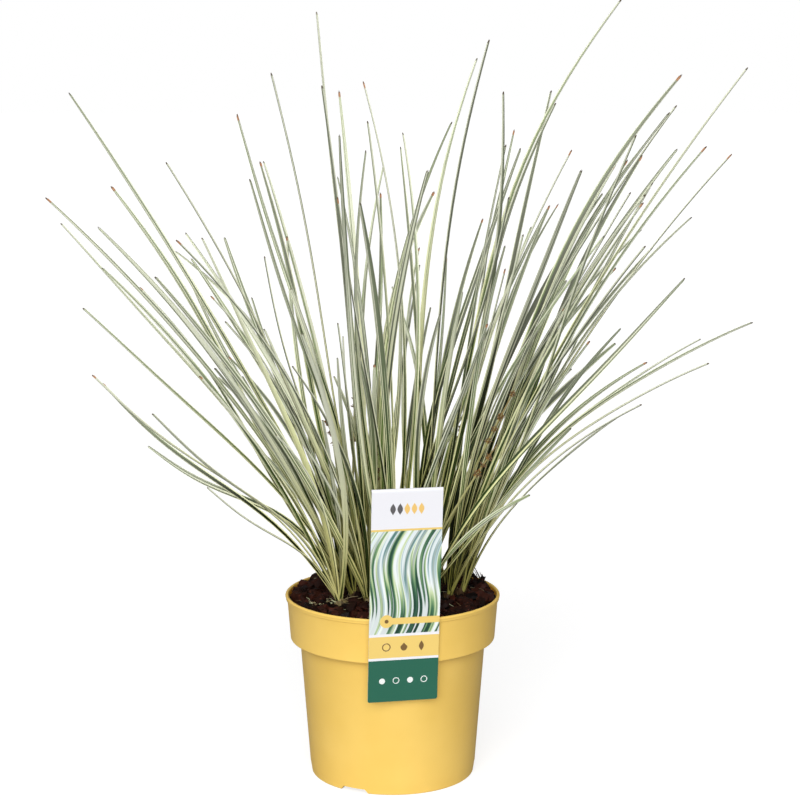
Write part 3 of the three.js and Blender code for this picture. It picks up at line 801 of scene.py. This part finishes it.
def striped_leaf():
    """The variegated leaf: olive green with cream margins and a few crisp stripes along it, with painted
    shade inside the tuft and on its underside, yellower at its foot, greyer towards its tip (partly its
    own colour, partly painted light), and some scorched at the end."""
    made = finish("striped_leaf", 0.46, 0.14)
    u, v = blade_map(made)
    seed, dry, side = traits_of(made)
    x, y, z = parts_of(source(made, "TexCoord", "Object"))
    greener = ranged(x, 0.0, 0.04, 0.07, 0.14)  # more so in the right clump

    # Stripes run along the leaf, from a noise that is stretched along it.
    shift = seed * 61.0
    across = (u - 0.5) * ranged(v, 0.0, 0.2, 2.4, 4.2) + shift
    lines = step("CombineXYZ", {0: across, 1: v * 0.7 + shift, 2: seed})
    stripes = noise(lines, 1.0, 1.0, 0.7) + (chance(seed, 7.31) * 0.17 - greener)
    cloud = step("TexNoise", {"W": v * 5.0 + shift, "Scale": 1.0}, noise_dimensions="1D")
    shade = (chance(seed, 3.17) * 0.5 + 0.62) * ranged(cloud, 0.3, 0.7, 0.82, 1.08)
    body = mixed(chance(seed, 17.9), paint(46, 74, 26), paint(120, 146, 72))
    green = mixed(ranged(stripes, 0.44, 0.46), paint(28, 38, 8), body)
    green = dimmed(green, shade, shade, shade)
    green = mixed(ranged(v, 0.0, 0.25, 0.7, 0.0), green, paint(46, 54, 24))
    whiter = chance(seed, 23.1) * 0.4 + (v - 0.36)
    cream = mixed(ranged(whiter, 0.0, 0.7), paint(230, 230, 174), paint(234, 236, 214))
    pale = ranged(stripes, 0.55, 0.565)
    leaf = mixed(pale, green, mixed(0.12, cream, body))

    # Both margins are cream, and on some leaves a line along the middle.
    edge = maths("ABSOLUTE", u * 2.0 - 1.0)
    margin = chance(seed, 13.7) * -0.36 + 0.86 + greener
    leaf = mixed(ranged(edge, margin - 0.03, margin), leaf, cream)
    middle = maths("GREATER_THAN", chance(seed, 5.77), 0.7) * ranged(edge, 0.12, 0.18, 1.0, 0.0)
    leaf = mixed(middle, leaf, cream)
    # Towards the tip the leaf turns paler and greyer: partly its own colour, partly painted light on the
    # upper leaves.
    leaf = mixed(ranged(v, 0.3, 0.85, 0.0, 0.36), leaf, paint(201, 205, 182))
    leaf = mixed(ranged(v, 0.0, 0.4, 1.0, 0.0), leaf, paint(240, 232, 204), "MULTIPLY")

    # Painted shade: it is darker deep in the tuft, and on the underside.
    beside = maths("MAXIMUM", maths("ABSOLUTE", x - 0.005) - 0.03, 0.0)
    inside = ranged(maths("SQRT", beside * beside + y * y), 0.015, 0.05, 0.4, 0.0)
    inside = inside * ranged(z, 0.2, 0.36, 1.0, 0.0)
    light = side * -0.22 + (1.0 - inside)
    leaf = dimmed(leaf, light, light, inside * -0.45 + light)

    # Sheaths are straw, and specks and scorched ends are brown. Low down the sheaths and the cores
    # darken to near black: painted shade between the stems' feet.
    straw = mixed(pale, paint(112, 84, 54), paint(190, 166, 118))
    straw = mixed(ranged(v, 0.04, 0.09, 0.8, 0.0), straw, paint(48, 32, 20))
    leaf = mixed(dry, leaf, straw)
    specks = ranged(noise(lines, 9.0, 1.0), 0.74, 0.76, 0.0, 0.5)
    leaf = mixed(specks, leaf, paint(112, 84, 50))
    scorched = maths("GREATER_THAN", chance(seed, 9.71), 0.72) * ranged(v, 0.986, 0.989, 0.0, 0.9)
    leaf = mixed(scorched, leaf, paint(174, 124, 88))
    leaf = mixed(ranged(v, 0.995, 0.999, 0.0, 0.8), leaf, paint(84, 62, 48))
    wear(made, "Base Color", leaf)
    return made


coat(striped_leaf(), blade, sheath, core)
for shoot in shoots:
    number = shoot["number"]
    draw = seeded(900 + number * 17)
    parts = [grow_leaf(leaf, draw(0, 1)) for leaf in shoot["leaves"]]
    for turn in range(3):
        height, dry = draw(2.5, 6), draw(0.75, 1.0)
        angle = turn * 2.4 + draw(-0.3, 0.3)
        parts.append(wrap_sheath(shoot, angle, height, draw(1.0, 1.7), draw(0, 1), dry))
    parts.append(grow_core(shoot, draw(0, 1)))
    tuft = bound_together(f"leafy_shoot_{number + 1:02d}", parts)
    smooth(tuft, 50)
    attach(tuft, "root")
    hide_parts(f"shoot_{number + 1:02d}")
throw_away(blade, sheath, core)

# The flower spikes
# Six short stalks stay lower than the leaves. Each is flat, with three or four heads of small brown
# flowers up its top third, and stiff pointed bracts stand out between the flowers.
GOLDEN_ANGLE = math.pi * (3 - math.sqrt(5))
stalk_lengths = 18
buds_in_head, bracts_in_head = 12, 7
head_half_length = 3.0


def set_along(places, spot, ahead, size):
    """Places of a pattern that stands on a spot and points ahead, at a size in millimetres."""
    side = unit(np.cross(ahead, (0.31, 0.72, 0.2)))
    other = np.cross(ahead, side)
    x, y, z = (places * size).T
    return spot + x[:, None] * side + y[:, None] * other + z[:, None] * ahead


def rod_pattern(name, lengths, sides):
    """A round rod one unit in radius and one long."""
    rod = throw(name, [(1, ring / lengths) for ring in range(lengths + 1)], sides, 1)
    places = places_of(rod.data)
    mark_map(rod, 0.5, places[:, 2])
    return rod, places


def bud_pattern():
    """A small closed flower one unit in radius, drawn to a blunt point."""
    bud = new_piece(bpy.ops.mesh.primitive_uv_sphere_add, "bud", segments=6, ring_count=4, radius=1)
    with shaping(bud, lambda co: co.z > 0.6):
        bpy.ops.transform.translate(value=(0, 0, 0.45))
        bpy.ops.transform.resize(value=(0.8, 0.8, 1), center_override=(0, 0, 0))
    places = places_of(bud.data)
    mark_map(bud, 0.5, places[:, 2] / 3 + 0.4)
    return bud, places


def bract_pattern():
    """A flattened bract one unit long, widest just above its foot and drawn to a point."""
    bract = throw("bract", [(0.16, 0), (0.22, 0.12), (0.17, 0.4), (0.09, 0.7), (0.012, 1)], 5, 1)
    with shaping(bract):
        bpy.ops.transform.resize(value=(1, 0.6, 1), center_override=(0, 0, 0))
    places = places_of(bract.data)
    mark_map(bract, 0.5, places[:, 2])
    return bract, places


def brown_flower():
    """Flowers between orange and dark brown, bracts paler towards their points."""
    made = finish("brown_flower", 0.6, 0.3)
    _, v = blade_map(made)
    seed, dry, _ = traits_of(made)
    flower = mixed(seed, paint(40, 26, 22), paint(166, 116, 42))
    flower = mixed(ranged(v, 0.5, 0.8, 0.0, 0.5), flower, paint(172, 138, 88))
    bract = mixed(v, paint(60, 40, 28), paint(164, 136, 100))
    wear(made, "Base Color", mixed(dry, flower, bract))
    return made


def green_stalk():
    """The stalk is straw-green, brown where the flowers sit."""
    made = finish("green_stalk", 0.5, 0.4)
    _, v = blade_map(made)
    stalk = mixed(ranged(v, 0.1, 0.6), paint(116, 122, 60), paint(170, 166, 112))
    wear(made, "Base Color", mixed(ranged(v, 0.75, 1.0, 0.0, 0.6), stalk, paint(128, 84, 50)))
    return made


stalk, stalk_places = rod_pattern("stalk", stalk_lengths, 8)
bud, bud_places = bud_pattern()
bract, bract_places = bract_pattern()
coat(green_stalk(), stalk)
coat(brown_flower(), bud, bract)


def grow_stalk(line, seed):
    """Lays the rod along a spike's line: round at its foot, and flat above."""
    point_at, frame_at = leaf_line(line)
    x, y, z = stalk_places.T
    t = z * 1.05 - 0.05
    across, face = frame_at(t)
    flat = np.clip(t / 0.08, 0, 1)
    round_foot, flat_top = 1.5, 0.5  # half the stalk's thickness at its foot and above
    wide = round_foot + (leaf_width(line, np.clip(t, 0, 1)) / 2 - round_foot) * flat
    thick = round_foot + (flat_top - round_foot) * flat
    places = point_at(t) + across * (x * wide)[:, None] + face * (y * thick)[:, None]
    return copy_at(stalk, places, seed)


def grow_head(middle, ahead, seed, tint):
    """One head: buds set closely round the stalk, and bracts that stand out further."""
    draw = seeded(seed)
    side = unit(np.cross(ahead, (0.2, 0.9, 0.1)))
    other = np.cross(ahead, side)
    bulk = draw(0.5, 1.05)
    parts = []
    for i in range(buds_in_head):
        level = -1 + 2 * (i + 0.5) / buds_in_head
        out = side * math.cos(i * GOLDEN_ANGLE) + other * math.sin(i * GOLDEN_ANGLE)
        swell = 0.4 + 0.9 * math.sqrt(1 - level**2)
        spot = middle + (out * swell + ahead * level * head_half_length) * bulk
        heading = unit(out + ahead * (0.5 * level + draw(-0.1, 0.5)))
        places = set_along(bud_places, spot, heading, draw(0.6, 0.95) * bulk)
        parts.append(copy_at(bud, places, tint + draw(0, 0.4)))
    for i in range(bracts_in_head):
        turn = i * GOLDEN_ANGLE + 0.8
        out = side * math.cos(turn) + other * math.sin(turn)
        heading = unit(out + ahead * draw(-0.25, 0.7))
        spot = middle + out * 0.8 + ahead * draw(-2.0, 1.6)
        places = set_along(bract_places, spot, heading, draw(2.2, 3.5))
        parts.append(copy_at(bract, places, draw(0, 1), dry=1.0))
    return parts


for number, (at, top) in enumerate(spikes):
    line = spike_stalk(at, top)
    point_at, _ = leaf_line(line)
    draw = seeded(5000 + number * 31)
    parts = [grow_stalk(line, number / len(spikes))]
    for i in range(spike_flowers):
        share = 0.99 - head_spacing * i - draw(0, 0.012)
        for _ in range(8):
            draw(0, 1)  # the draws that shape the head in the solid
        middle, above = point_at([share, share + 0.01])
        if (number + i) % 4 == 3:
            continue  # this head has dropped its flowers
        tint = 0.25 if top[0] > 0 else 0.0  # the right clump's are more orange
        parts += grow_head(middle, unit(above - middle), 7000 + number * 50 + i, tint)
    whole = bound_together(f"flowering_spike_{number + 1}", parts)
    smooth(whole, 60)
    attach(whole, "root")
    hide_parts(f"flower_spike_{number + 1}")
throw_away(stalk, bud, bract)

# The potting mix
# The filled inside of the pot: a low mound of dark mix, covered with flakes of bark and crumbs,
# with root fibres between them, pale flecks at the front left and twigs at the back right.
SOIL_GAP = 0.3
mix_foot = floor_top + SOIL_GAP
mound_rings = 26
flake_count, crumb_count = 560, 520
fibre_count, twig_count, fleck_count = 110, 30, 42
strewn_radius, fibre_radius = 80, 77
twig_place, fleck_place = (62, 40), (-54, -31)
stem_room, tongue_side_room, tongue_room = 5.9, 1, 2.5
tongue_width, tongue_shift, tongue_out = 24, -4, 78  # of the label, which goes down into the mix


def mix_wall(z):
    """The mix's radius at a height, just clear of the pot's wall."""
    return inner_radius(z) - SOIL_GAP


mix_radius = mix_wall(soil_edge)
mix_shelf = shelf + wall + SOIL_GAP
mix_profile = [
    (pad_radius + 0.2, pad_top + SOIL_GAP), (pad_radius + 2.9, mix_foot),
    (mix_wall(mix_foot) - 1.2, mix_foot), (mix_wall(mix_foot), mix_foot + 1.5),
    (mix_wall(shelf), shelf), (mix_wall(shelf + 1) - 0.2, mix_shelf),
    (mix_wall(shelf + wall + 1) - 1.4, mix_shelf),
    (mix_wall(shelf + wall + 1.6), shelf + wall + 1.6), (mix_radius, soil_edge),
    *[(mix_radius * ring / mound_rings, soil_edge) for ring in range(mound_rings - 1, 0, -1)],
]
mix = throw("potting_mound", mix_profile, 96)


def rough_ground(x, y):
    """The lumps of the mix between the flakes of bark."""
    lumps = np.sin(x / 2.3 + 1.7 * np.sin(y / 3.1)) * np.cos(y / 2.1 + 1.3 * np.sin(x / 2.7))
    return 0.7 * lumps + 0.5 * np.sin(x / 1.1 + y / 1.7) * np.cos(y / 1.3 - x / 2.9) - 1.3


mix_places = places_of(mix.data) / MM
on_top = mix_places[:, 2] > soil_edge - 0.5
x, y = mix_places[on_top, 0], mix_places[on_top, 1]
inside = np.clip((mix_radius - np.hypot(x, y)) / 3, 0, 1)
mix_places[on_top, 2] = soil_height(x, y) + rough_ground(x, y) * inside
mix.data.vertices.foreach_set("co", (mix_places * MM).astype(np.float32).ravel())
mark_map(mix, 0.5, 0.5)
mix.data.attributes.new("leaf", "FLOAT_VECTOR", "POINT")


def bark_pattern(name, size, taper, seed):
    """A flake of bark one unit long: a block cut in lengths, thinned to one end and knocked about."""
    flake = new_piece(bpy.ops.mesh.primitive_cube_add, name, size=1)
    with shaping(flake):
        bpy.ops.transform.resize(value=size)
        bpy.ops.mesh.subdivide(number_cuts=1)
        bpy.ops.transform.vertex_random(offset=0.085, uniform=1.0, seed=seed)
    with shaping(flake, lambda co: co.x > 0.25):
        bpy.ops.transform.resize(value=(1, taper, taper), center_override=(0.5, 0, -0.04))
    with shaping(flake, lambda co: abs(co.x) < 0.2 and abs(co.y) < 0.2 and co.z > 0):
        bpy.ops.transform.translate(value=(0, 0, 0.07))
    places = places_of(flake.data)
    mark_map(flake, places[:, 0] + 0.5, places[:, 1] + 0.5)
    return flake, places


def dark_bark():
    """Bark and mix: near black in the mix, and from black-brown to red-brown on the flakes, with
    paler patches on the roughest of them, partly their own colour and partly a painted sheen. The third
    trait tells pale flecks and fibres apart."""
    made = finish("dark_bark", 0.7, 0.12)
    place = source(made, "TexCoord", "Object")
    seed, _, paleness = traits_of(made)
    grain, coarse = noise(place, 420.0, 4.0, 0.65), noise(place, 90.0, 2.0)
    tint = chance(seed, 5.3) * ranged(coarse, 0.35, 0.65, 0.5, 1.1)
    bark = mixed(tint, paint(10, 4, 3), paint(60, 24, 13))
    # Paler patches on some flakes: partly their own colour, partly a painted sheen.
    bloom_and_sheen = ranged(grain, 0.55, 0.75) * chance(seed, 11.9)
    bark = mixed(bloom_and_sheen, bark, paint(100, 56, 40))
    bark = mixed(ranged(grain, 0.3, 0.44, 0.7, 0.0), bark, paint(12, 6, 5))
    pale = mixed(chance(seed, 3.9), paint(150, 124, 86), paint(190, 198, 160))
    wear(made, "Base Color", mixed(paleness, bark, pale))
    wear(made, "Roughness", ranged(grain, 0.3, 0.7, 0.5, 0.85))
    relief(made, grain, 0.5, 0.0006)
    return made


flakes = [
    bark_pattern("slab", (1, 0.62, 0.26), 0.7, 3),
    bark_pattern("wedge", (1, 0.5, 0.34), 0.45, 8),
    bark_pattern("chunk", (1, 0.75, 0.5), 0.85, 15),
    bark_pattern("splint", (1, 0.34, 0.18), 0.6, 21),
]
fibre, fibre_places = rod_pattern("fibre", 6, 4)
patterns = [*(flake for flake, _ in flakes), fibre]
coat(dark_bark(), mix, *patterns)


def turned_about(places, tilt, roll, heading):
    """Places turned by three angles in radians, about X, then Y, then Z."""
    x, y, z = places.T
    y, z = spun(y, z, tilt)
    z, x = spun(z, x, roll)
    return np.column_stack([*spun(x, y, heading), z])


def lies_free(places):
    """True if a flake lies clear of the stems' feet and the label's tongue."""
    x, y, _ = places.T
    if any((np.hypot(x - a, y - b) < stem_room).any() for a, b in feet):
        return False
    sideways, back = spun(x, y, -math.radians(label_turn))
    in_width = abs(sideways - tongue_shift) < tongue_width / 2 + tongue_side_room
    return not (in_width & (-back > tongue_out - tongue_room)).any()


def kept_inside(places):
    """Moves a flake away from the pot's wall."""
    radii = np.hypot(places[:, 0], places[:, 1])
    most = inner_radius(soil_edge) - 0.6
    if radii.max() > most:
        places[:, :2] -= places[radii.argmax(), :2] * (1 - most / radii.max())
    return places


scattered = [mix]
draw = seeded(77)
for i in range(flake_count + crumb_count):
    crumb = i >= flake_count
    flake, flake_places = flakes[int(draw(0, 4))]
    size = draw(1.6, 4.2) if crumb else draw(6, 14)
    far = strewn_radius * math.sqrt(draw(0.004, 1))
    x, y = far * math.cos(i * GOLDEN_ANGLE), far * math.sin(i * GOLDEN_ANGLE)
    steep = 1.1 if draw(0, 1) < 0.3 else 0.5
    tilt, roll, heading = draw(-steep, steep), draw(-steep, steep), draw(0, math.tau)
    laid = turned_about(flake_places * size, tilt, roll, heading)
    laid += (x, y, soil_height(x, y) + (draw(-0.8, 1.2) if crumb else draw(-1.2, 1.8)))
    laid = kept_inside(laid)
    seed = draw(0, 1)
    if lies_free(laid):
        scattered.append(copy_at(flake, laid, seed))


def lay_fibre(spot, heading, rise, length, radius, curve, seed, paleness):
    """Lays a strand from a spot in a heading, curved sideways, rising as it goes."""
    x, y, z = fibre_places.T
    ahead = unit(np.array([math.cos(heading), math.sin(heading), rise]))
    side = unit(np.cross(ahead, (0, 0, 1)))
    other = np.cross(side, ahead)
    bend = curve * length * (z - 0.5) ** 2
    thin = radius * (1 - 0.6 * z)
    places = np.array(spot) + ahead * (z * length)[:, None] + side * (bend - y * thin)[:, None]
    places = places + other * (x * thin)[:, None]
    scattered.append(copy_at(fibre, kept_inside(places), seed, side=paleness))


for _ in range(fibre_count):
    far, angle = fibre_radius * math.sqrt(draw(0.02, 1)), draw(0, math.tau)
    x, y = far * math.cos(angle), far * math.sin(angle)
    spot = (x, y, soil_height(x, y) + draw(1, 2.4))
    lay_fibre(spot, draw(0, math.tau), draw(-0.1, 0.25), draw(6, 18), draw(0.2, 0.42), draw(-1, 1),
              draw(0, 1), draw(0, 0.7) if draw(0, 1) < 0.4 else 0.0)
for _ in range(twig_count):
    x, y = twig_place[0] + draw(-12, 13), twig_place[1] + draw(-12, 8)
    spot = (x, y, soil_height(x, y) + 1)
    lay_fibre(spot, draw(1.6, 3.6), draw(0.5, 2.2), draw(4, 13), draw(0.4, 0.9), draw(-0.9, 0.9),
              draw(0, 1), 0.0)
for _ in range(fleck_count):
    x, y = fleck_place[0] + draw(-11, 11), fleck_place[1] + draw(-7, 7)
    spot = (x, y, soil_height(x, y) + draw(1.6, 2.8))
    lay_fibre(spot, draw(0, math.tau), draw(-0.3, 0.6), draw(1.5, 5), draw(0.25, 0.6), draw(-1, 1),
              draw(0, 1), draw(0.5, 1))
ground = bound_together("potting_ground", scattered)
smooth(ground, 24)
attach(ground, "root")
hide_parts("potting_mix")
throw_away(*patterns)

# The plant label
# One printed sheet of white card, folded at its top. Its wide face hangs in front of the pot, and
# the narrow tongue behind it goes down inside the rim into the mix.
label_top, label_foot = pot_height + label_above, pot_height - label_below
label_left, label_right = label_shift - label_width / 2, label_shift + label_width / 2
tongue_left, tongue_right = tongue_shift - tongue_width / 2, tongue_shift + tongue_width / 2
tongue_foot = 118
lip_middle = pot_height - 1.8
card_sheet, corner_radius, fold_radius = 0.6, 1.2, 1.35
corner_cut = corner_radius * 0.7
seat_gap = 0.3  # between the lip and the face's back
fold_start = label_top - 3
badge_across, badge_down = 0.245, 0.615  # shares of the printed face, from its top left
half_sheet = card_sheet / 2


def face_out(z):
    """How far the face's back lies from the pot's axis at a height."""
    return lip_radius + seat_gap + (z - lip_middle) * math.tan(math.radians(label_lean))


def sheet_at(z):
    """The middle of the sheet at a height, as (distance from the axis, height)."""
    return face_out(z) + half_sheet, z


def draw_edge(stops):
    """Draws the selected edge out from the first of some (distance from the axis, height) stops."""
    for (out, height), (next_out, next_height) in zip(stops, stops[1:]):
        pull(0, -(next_out - out) * MM, (next_height - height) * MM)


card = new_piece(bpy.ops.mesh.primitive_plane_add, "hanging_label", size=1)
for vertex in card.data.vertices:
    out, z = sheet_at(label_foot + corner_radius if vertex.co.y < 0 else fold_start)
    x = label_left if vertex.co.x < 0 else label_right
    vertex.co = (x * MM, -out * MM, z * MM)
with shaping(card):
    for side in (tongue_left, tongue_right):
        bpy.ops.mesh.select_all(action="SELECT")
        bpy.ops.mesh.bisect(plane_co=(side * MM, 0, 0), plane_no=(1, 0, 0))

# The two corners of its foot are cut off a little.
with shaping(card, lambda co: co.z < (label_foot + corner_radius + 0.1) * MM):
    draw_edge([sheet_at(label_foot + corner_radius), sheet_at(label_foot)])
for vertex in card.data.vertices:
    if vertex.co.z < (label_foot + 0.1) * MM:
        if vertex.co.x < (label_left + 0.1) * MM:
            vertex.co.x += corner_cut * MM
        elif vertex.co.x > (label_right - 0.1) * MM:
            vertex.co.x -= corner_cut * MM

# The fold is a soft roll at the top, and the tongue leaves it in the middle.
fold_middle = (face_out(label_top) + half_sheet - fold_radius, label_top - half_sheet - fold_radius)
fold = arc(fold_middle, fold_radius, 0, 180, 8)
with shaping(card, lambda co: co.z > (fold_start - 0.1) * MM):
    draw_edge([sheet_at(fold_start), *fold])


def on_tongue(co):
    """True for the part of the fold's back edge that the tongue is drawn from."""
    in_width = (tongue_left - 0.1) * MM < co.x < (tongue_right + 0.1) * MM
    return in_width and abs(co.y + fold[-1][0] * MM) < 1e-5


with shaping(card, on_tongue):
    draw_edge([fold[-1], (tongue_out + 2.8, pot_height + 12), (tongue_out + 1.3, pot_height - 4),
               (tongue_out + 0.3, tongue_foot)])
thicken = card.modifiers.new("sheet", "SOLIDIFY")
thicken.thickness = card_sheet * MM
thicken.offset = 0
thicken.use_even_offset = True
bpy.ops.object.modifier_apply(modifier=thicken.name)
with shaping(card):
    turn_outwards()
card_places = places_of(card.data) / MM
down = (label_top - card_places[:, 2]) / (label_top - label_foot)
mark_map(card, (card_places[:, 0] - label_left) / label_width, down)


def banded(value, bands, blend="LINEAR"):
    """A colour that changes along a value, by (position, colour) bands."""
    colour = step("ValToRGB", {0: value})
    ramp = colour.socket.node.color_ramp
    ramp.interpolation = blend
    for end, band in ((0, bands[0]), (1, bands[-1])):
        ramp.elements[end].position, ramp.elements[end].color = band
    for position, tint in bands[1:-1]:
        ramp.elements.new(position).color = tint
    return colour


def printed_card():
    """The printed face: a white head, a panel of soft S-shaped ribbons in white, pale blue and
    greens, a yellow band and a dark green foot, with thin rules between them and a plain badge."""
    made = finish("printed_card", 0.32, 0.5)
    u, v = blade_map(made)
    swing = v * 0.9 + maths("SINE", v * 9.5 - 1.2) * 0.16
    weave = step("CombineXYZ", {0: (u + swing) * 9.0, 1: v * 0.9, 2: 0.0})
    wide = noise(weave, 1.0, 2.0, 0.55) - ranged(v, 0.2, 0.68, -0.04, 0.1)
    fine = noise(weave, 2.3, 0.0)
    ribbons = banded(wide, [
        (0.36, paint(28, 64, 48)), (0.41, paint(66, 110, 78)), (0.45, paint(130, 164, 116)),
        (0.49, paint(200, 216, 168)), (0.53, paint(228, 234, 230)), (0.58, paint(176, 198, 202)),
        (0.63, paint(96, 138, 140)), (0.69, paint(222, 230, 230)),
    ])
    panel = mixed(ranged(fine, 0.54, 0.6, 0.0, 0.75), ribbons, paint(238, 244, 246))
    panel = mixed(ranged(fine, 0.4, 0.36, 0.0, 0.5), panel, paint(60, 104, 84))
    yellow, white, dark_green = paint(234, 202, 115), paint(233, 233, 238), paint(36, 98, 78)
    side, rise = (u - badge_across) * label_width, (v - badge_down) * (label_top - label_foot)
    disc = ranged(side * side + rise * rise, 25.4, 26.6, 1.0, 0.0)
    bar = ranged(maths("ABSOLUTE", rise), 2.5, 2.65, 1.0, 0.0) * maths("GREATER_THAN", side, 0.0)
    panel = mixed(maths("MAXIMUM", disc, bar), panel, yellow)
    panel_top, panel_foot = 0.193, 0.675
    fields = [(0.0, white), (0.183, yellow), (panel_top, white), (0.685, yellow), (0.789, white),
              (0.797, dark_green)]
    in_panel = maths("GREATER_THAN", v, panel_top) * maths("LESS_THAN", v, panel_foot)
    wear(made, "Base Color", mixed(in_panel, banded(v, fields, "CONSTANT"), panel))
    return made


def plain_ink(name, *tint):
    """A material of one even colour."""
    made = finish(name, 0.35)
    wear(made, "Base Color", paint(*tint))
    return made


inks = [
    plain_ink("bare_card", 233, 233, 238), printed_card(), plain_ink("grey_ink", 92, 90, 92),
    plain_ink("sand_ink", 232, 192, 112), plain_ink("brown_ink", 120, 92, 52),
    plain_ink("white_ink", 232, 236, 234),
]
BARE, PRINTED, GREY, SAND, BROWN, WHITE = range(len(inks))
for ink in inks:
    card.data.materials.append(ink)
for face in card.data.polygons:
    height = face.center.z / MM
    on_face = -face.center.y / MM > face_out(height) + card_sheet - 0.15 and height < label_top - 1
    face.material_index = PRINTED if on_face else BARE


def ink_shape(kind, across, down, size, ink):
    """A thin raised mark on the printed face: a round dot, a ring, a leaf or a drop."""
    if kind == "ring":
        mark = new_piece(bpy.ops.mesh.primitive_torus_add, kind, major_radius=size * MM,
                         minor_radius=size * 0.14 * MM, major_segments=28, minor_segments=6)
    else:
        mark = new_piece(bpy.ops.mesh.primitive_cylinder_add, kind, vertices=28, radius=size * MM,
                         depth=0.2 * MM)
    if kind in ("leaf", "drop"):
        for vertex in mark.data.vertices:
            along = vertex.co.y / (size * MM)
            pinch = 1 - along**2 if kind == "leaf" else 1 - max(along, 0) ** 1.2
            vertex.co.x *= max(pinch, 0.02) * (0.45 if kind == "leaf" else 0.8)
    with shaping(mark):
        bpy.ops.transform.resize(value=(1, 1, 0.4 if kind == "ring" else 1))
    height = label_top - down * (label_top - label_foot)
    mark.rotation_euler.x = math.radians(90 + label_lean)
    mark.location = (
        (label_left + across * label_width) * MM, -(face_out(height) + card_sheet) * MM, height * MM,
    )
    bpy.ops.object.transform_apply()
    mark_map(mark, 0.5, 0.5)
    for tint in inks:
        mark.data.materials.append(tint)
    for face in mark.data.polygons:
        face.material_index = ink
    return mark


head_row, band_row, foot_row = 0.092, 0.738, 0.90  # shares down the printed face
marks = [ink_shape(*mark) for mark in (
    ("leaf", 0.30, head_row, 4.6, GREY), ("leaf", 0.40, head_row, 4.6, GREY),
    ("leaf", 0.50, head_row, 4.6, SAND), ("leaf", 0.60, head_row, 4.6, SAND),
    ("leaf", 0.70, head_row, 4.6, SAND), ("dot", badge_across, badge_down, 1.5, BROWN),
    ("ring", 0.25, band_row, 2.9, BROWN), ("drop", 0.50, band_row, 3.3, BROWN),
    ("leaf", 0.75, band_row, 4.2, BROWN), ("dot", 0.20, foot_row, 2.3, WHITE),
    ("ring", 0.40, foot_row, 2.3, WHITE), ("dot", 0.60, foot_row, 2.3, WHITE),
    ("ring", 0.80, foot_row, 2.3, WHITE),
)]
card = bound_together("hanging_label", [card, *marks])
card.rotation_euler.z = math.radians(label_turn)
bpy.ops.object.transform_apply()
smooth(card, 30)
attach(card, "root")
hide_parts("plant_label")

# The studio
# A plain pale floor under soft light: a broad sun from the front, a weak fill from the left, and
# even white all round, which the camera sees brighter than the plant does.
pick()
bpy.ops.mesh.primitive_plane_add(size=60, location=(0, 20, 0))
floor = bpy.context.object
floor.name = "floor"
floor_finish = finish("pale_floor", 0.9, 0.0)
wear(floor_finish, "Base Color", (0.45, 0.45, 0.45, 1))
wear(floor_finish, "Emission Color", (1, 1, 1, 1))
wear(floor_finish, "Emission Strength", source(floor_finish, "LightPath") * 0.72)
coat(floor_finish, floor)

world = bpy.data.worlds.new("studio")
bpy.context.scene.world = world
world.use_nodes = True
sky = world.node_tree.nodes["Background"]
sky.inputs["Color"].default_value = (1, 1, 1, 1)
plant_sky, camera_sky = 0.3, 1.0  # how bright the white is for the plant, and for the camera
strength = step("MapRange", {0: source(world, "LightPath"), 3: plant_sky, 4: camera_sky})
world.node_tree.links.new(strength.socket, sky.inputs["Strength"])


def sun(name, heading, height, power, spread):
    """A broad far lamp, from a heading and a height in degrees. A heading of 0 is the front."""
    data = bpy.data.lights.new(name, "SUN")
    data.energy = power
    data.angle = math.radians(spread)
    lamp = bpy.data.objects.new(name, data)
    lamp.rotation_euler = (math.radians(90 - height), 0, math.radians(heading))
    lamp.location = (0, -2, 2)
    bpy.context.scene.collection.objects.link(lamp)


sun("key", -4, 24, 3.1, 44)
sun("fill", -52, 44, 0.35, 50)
bpy.context.scene.view_settings.view_transform = "Standard"
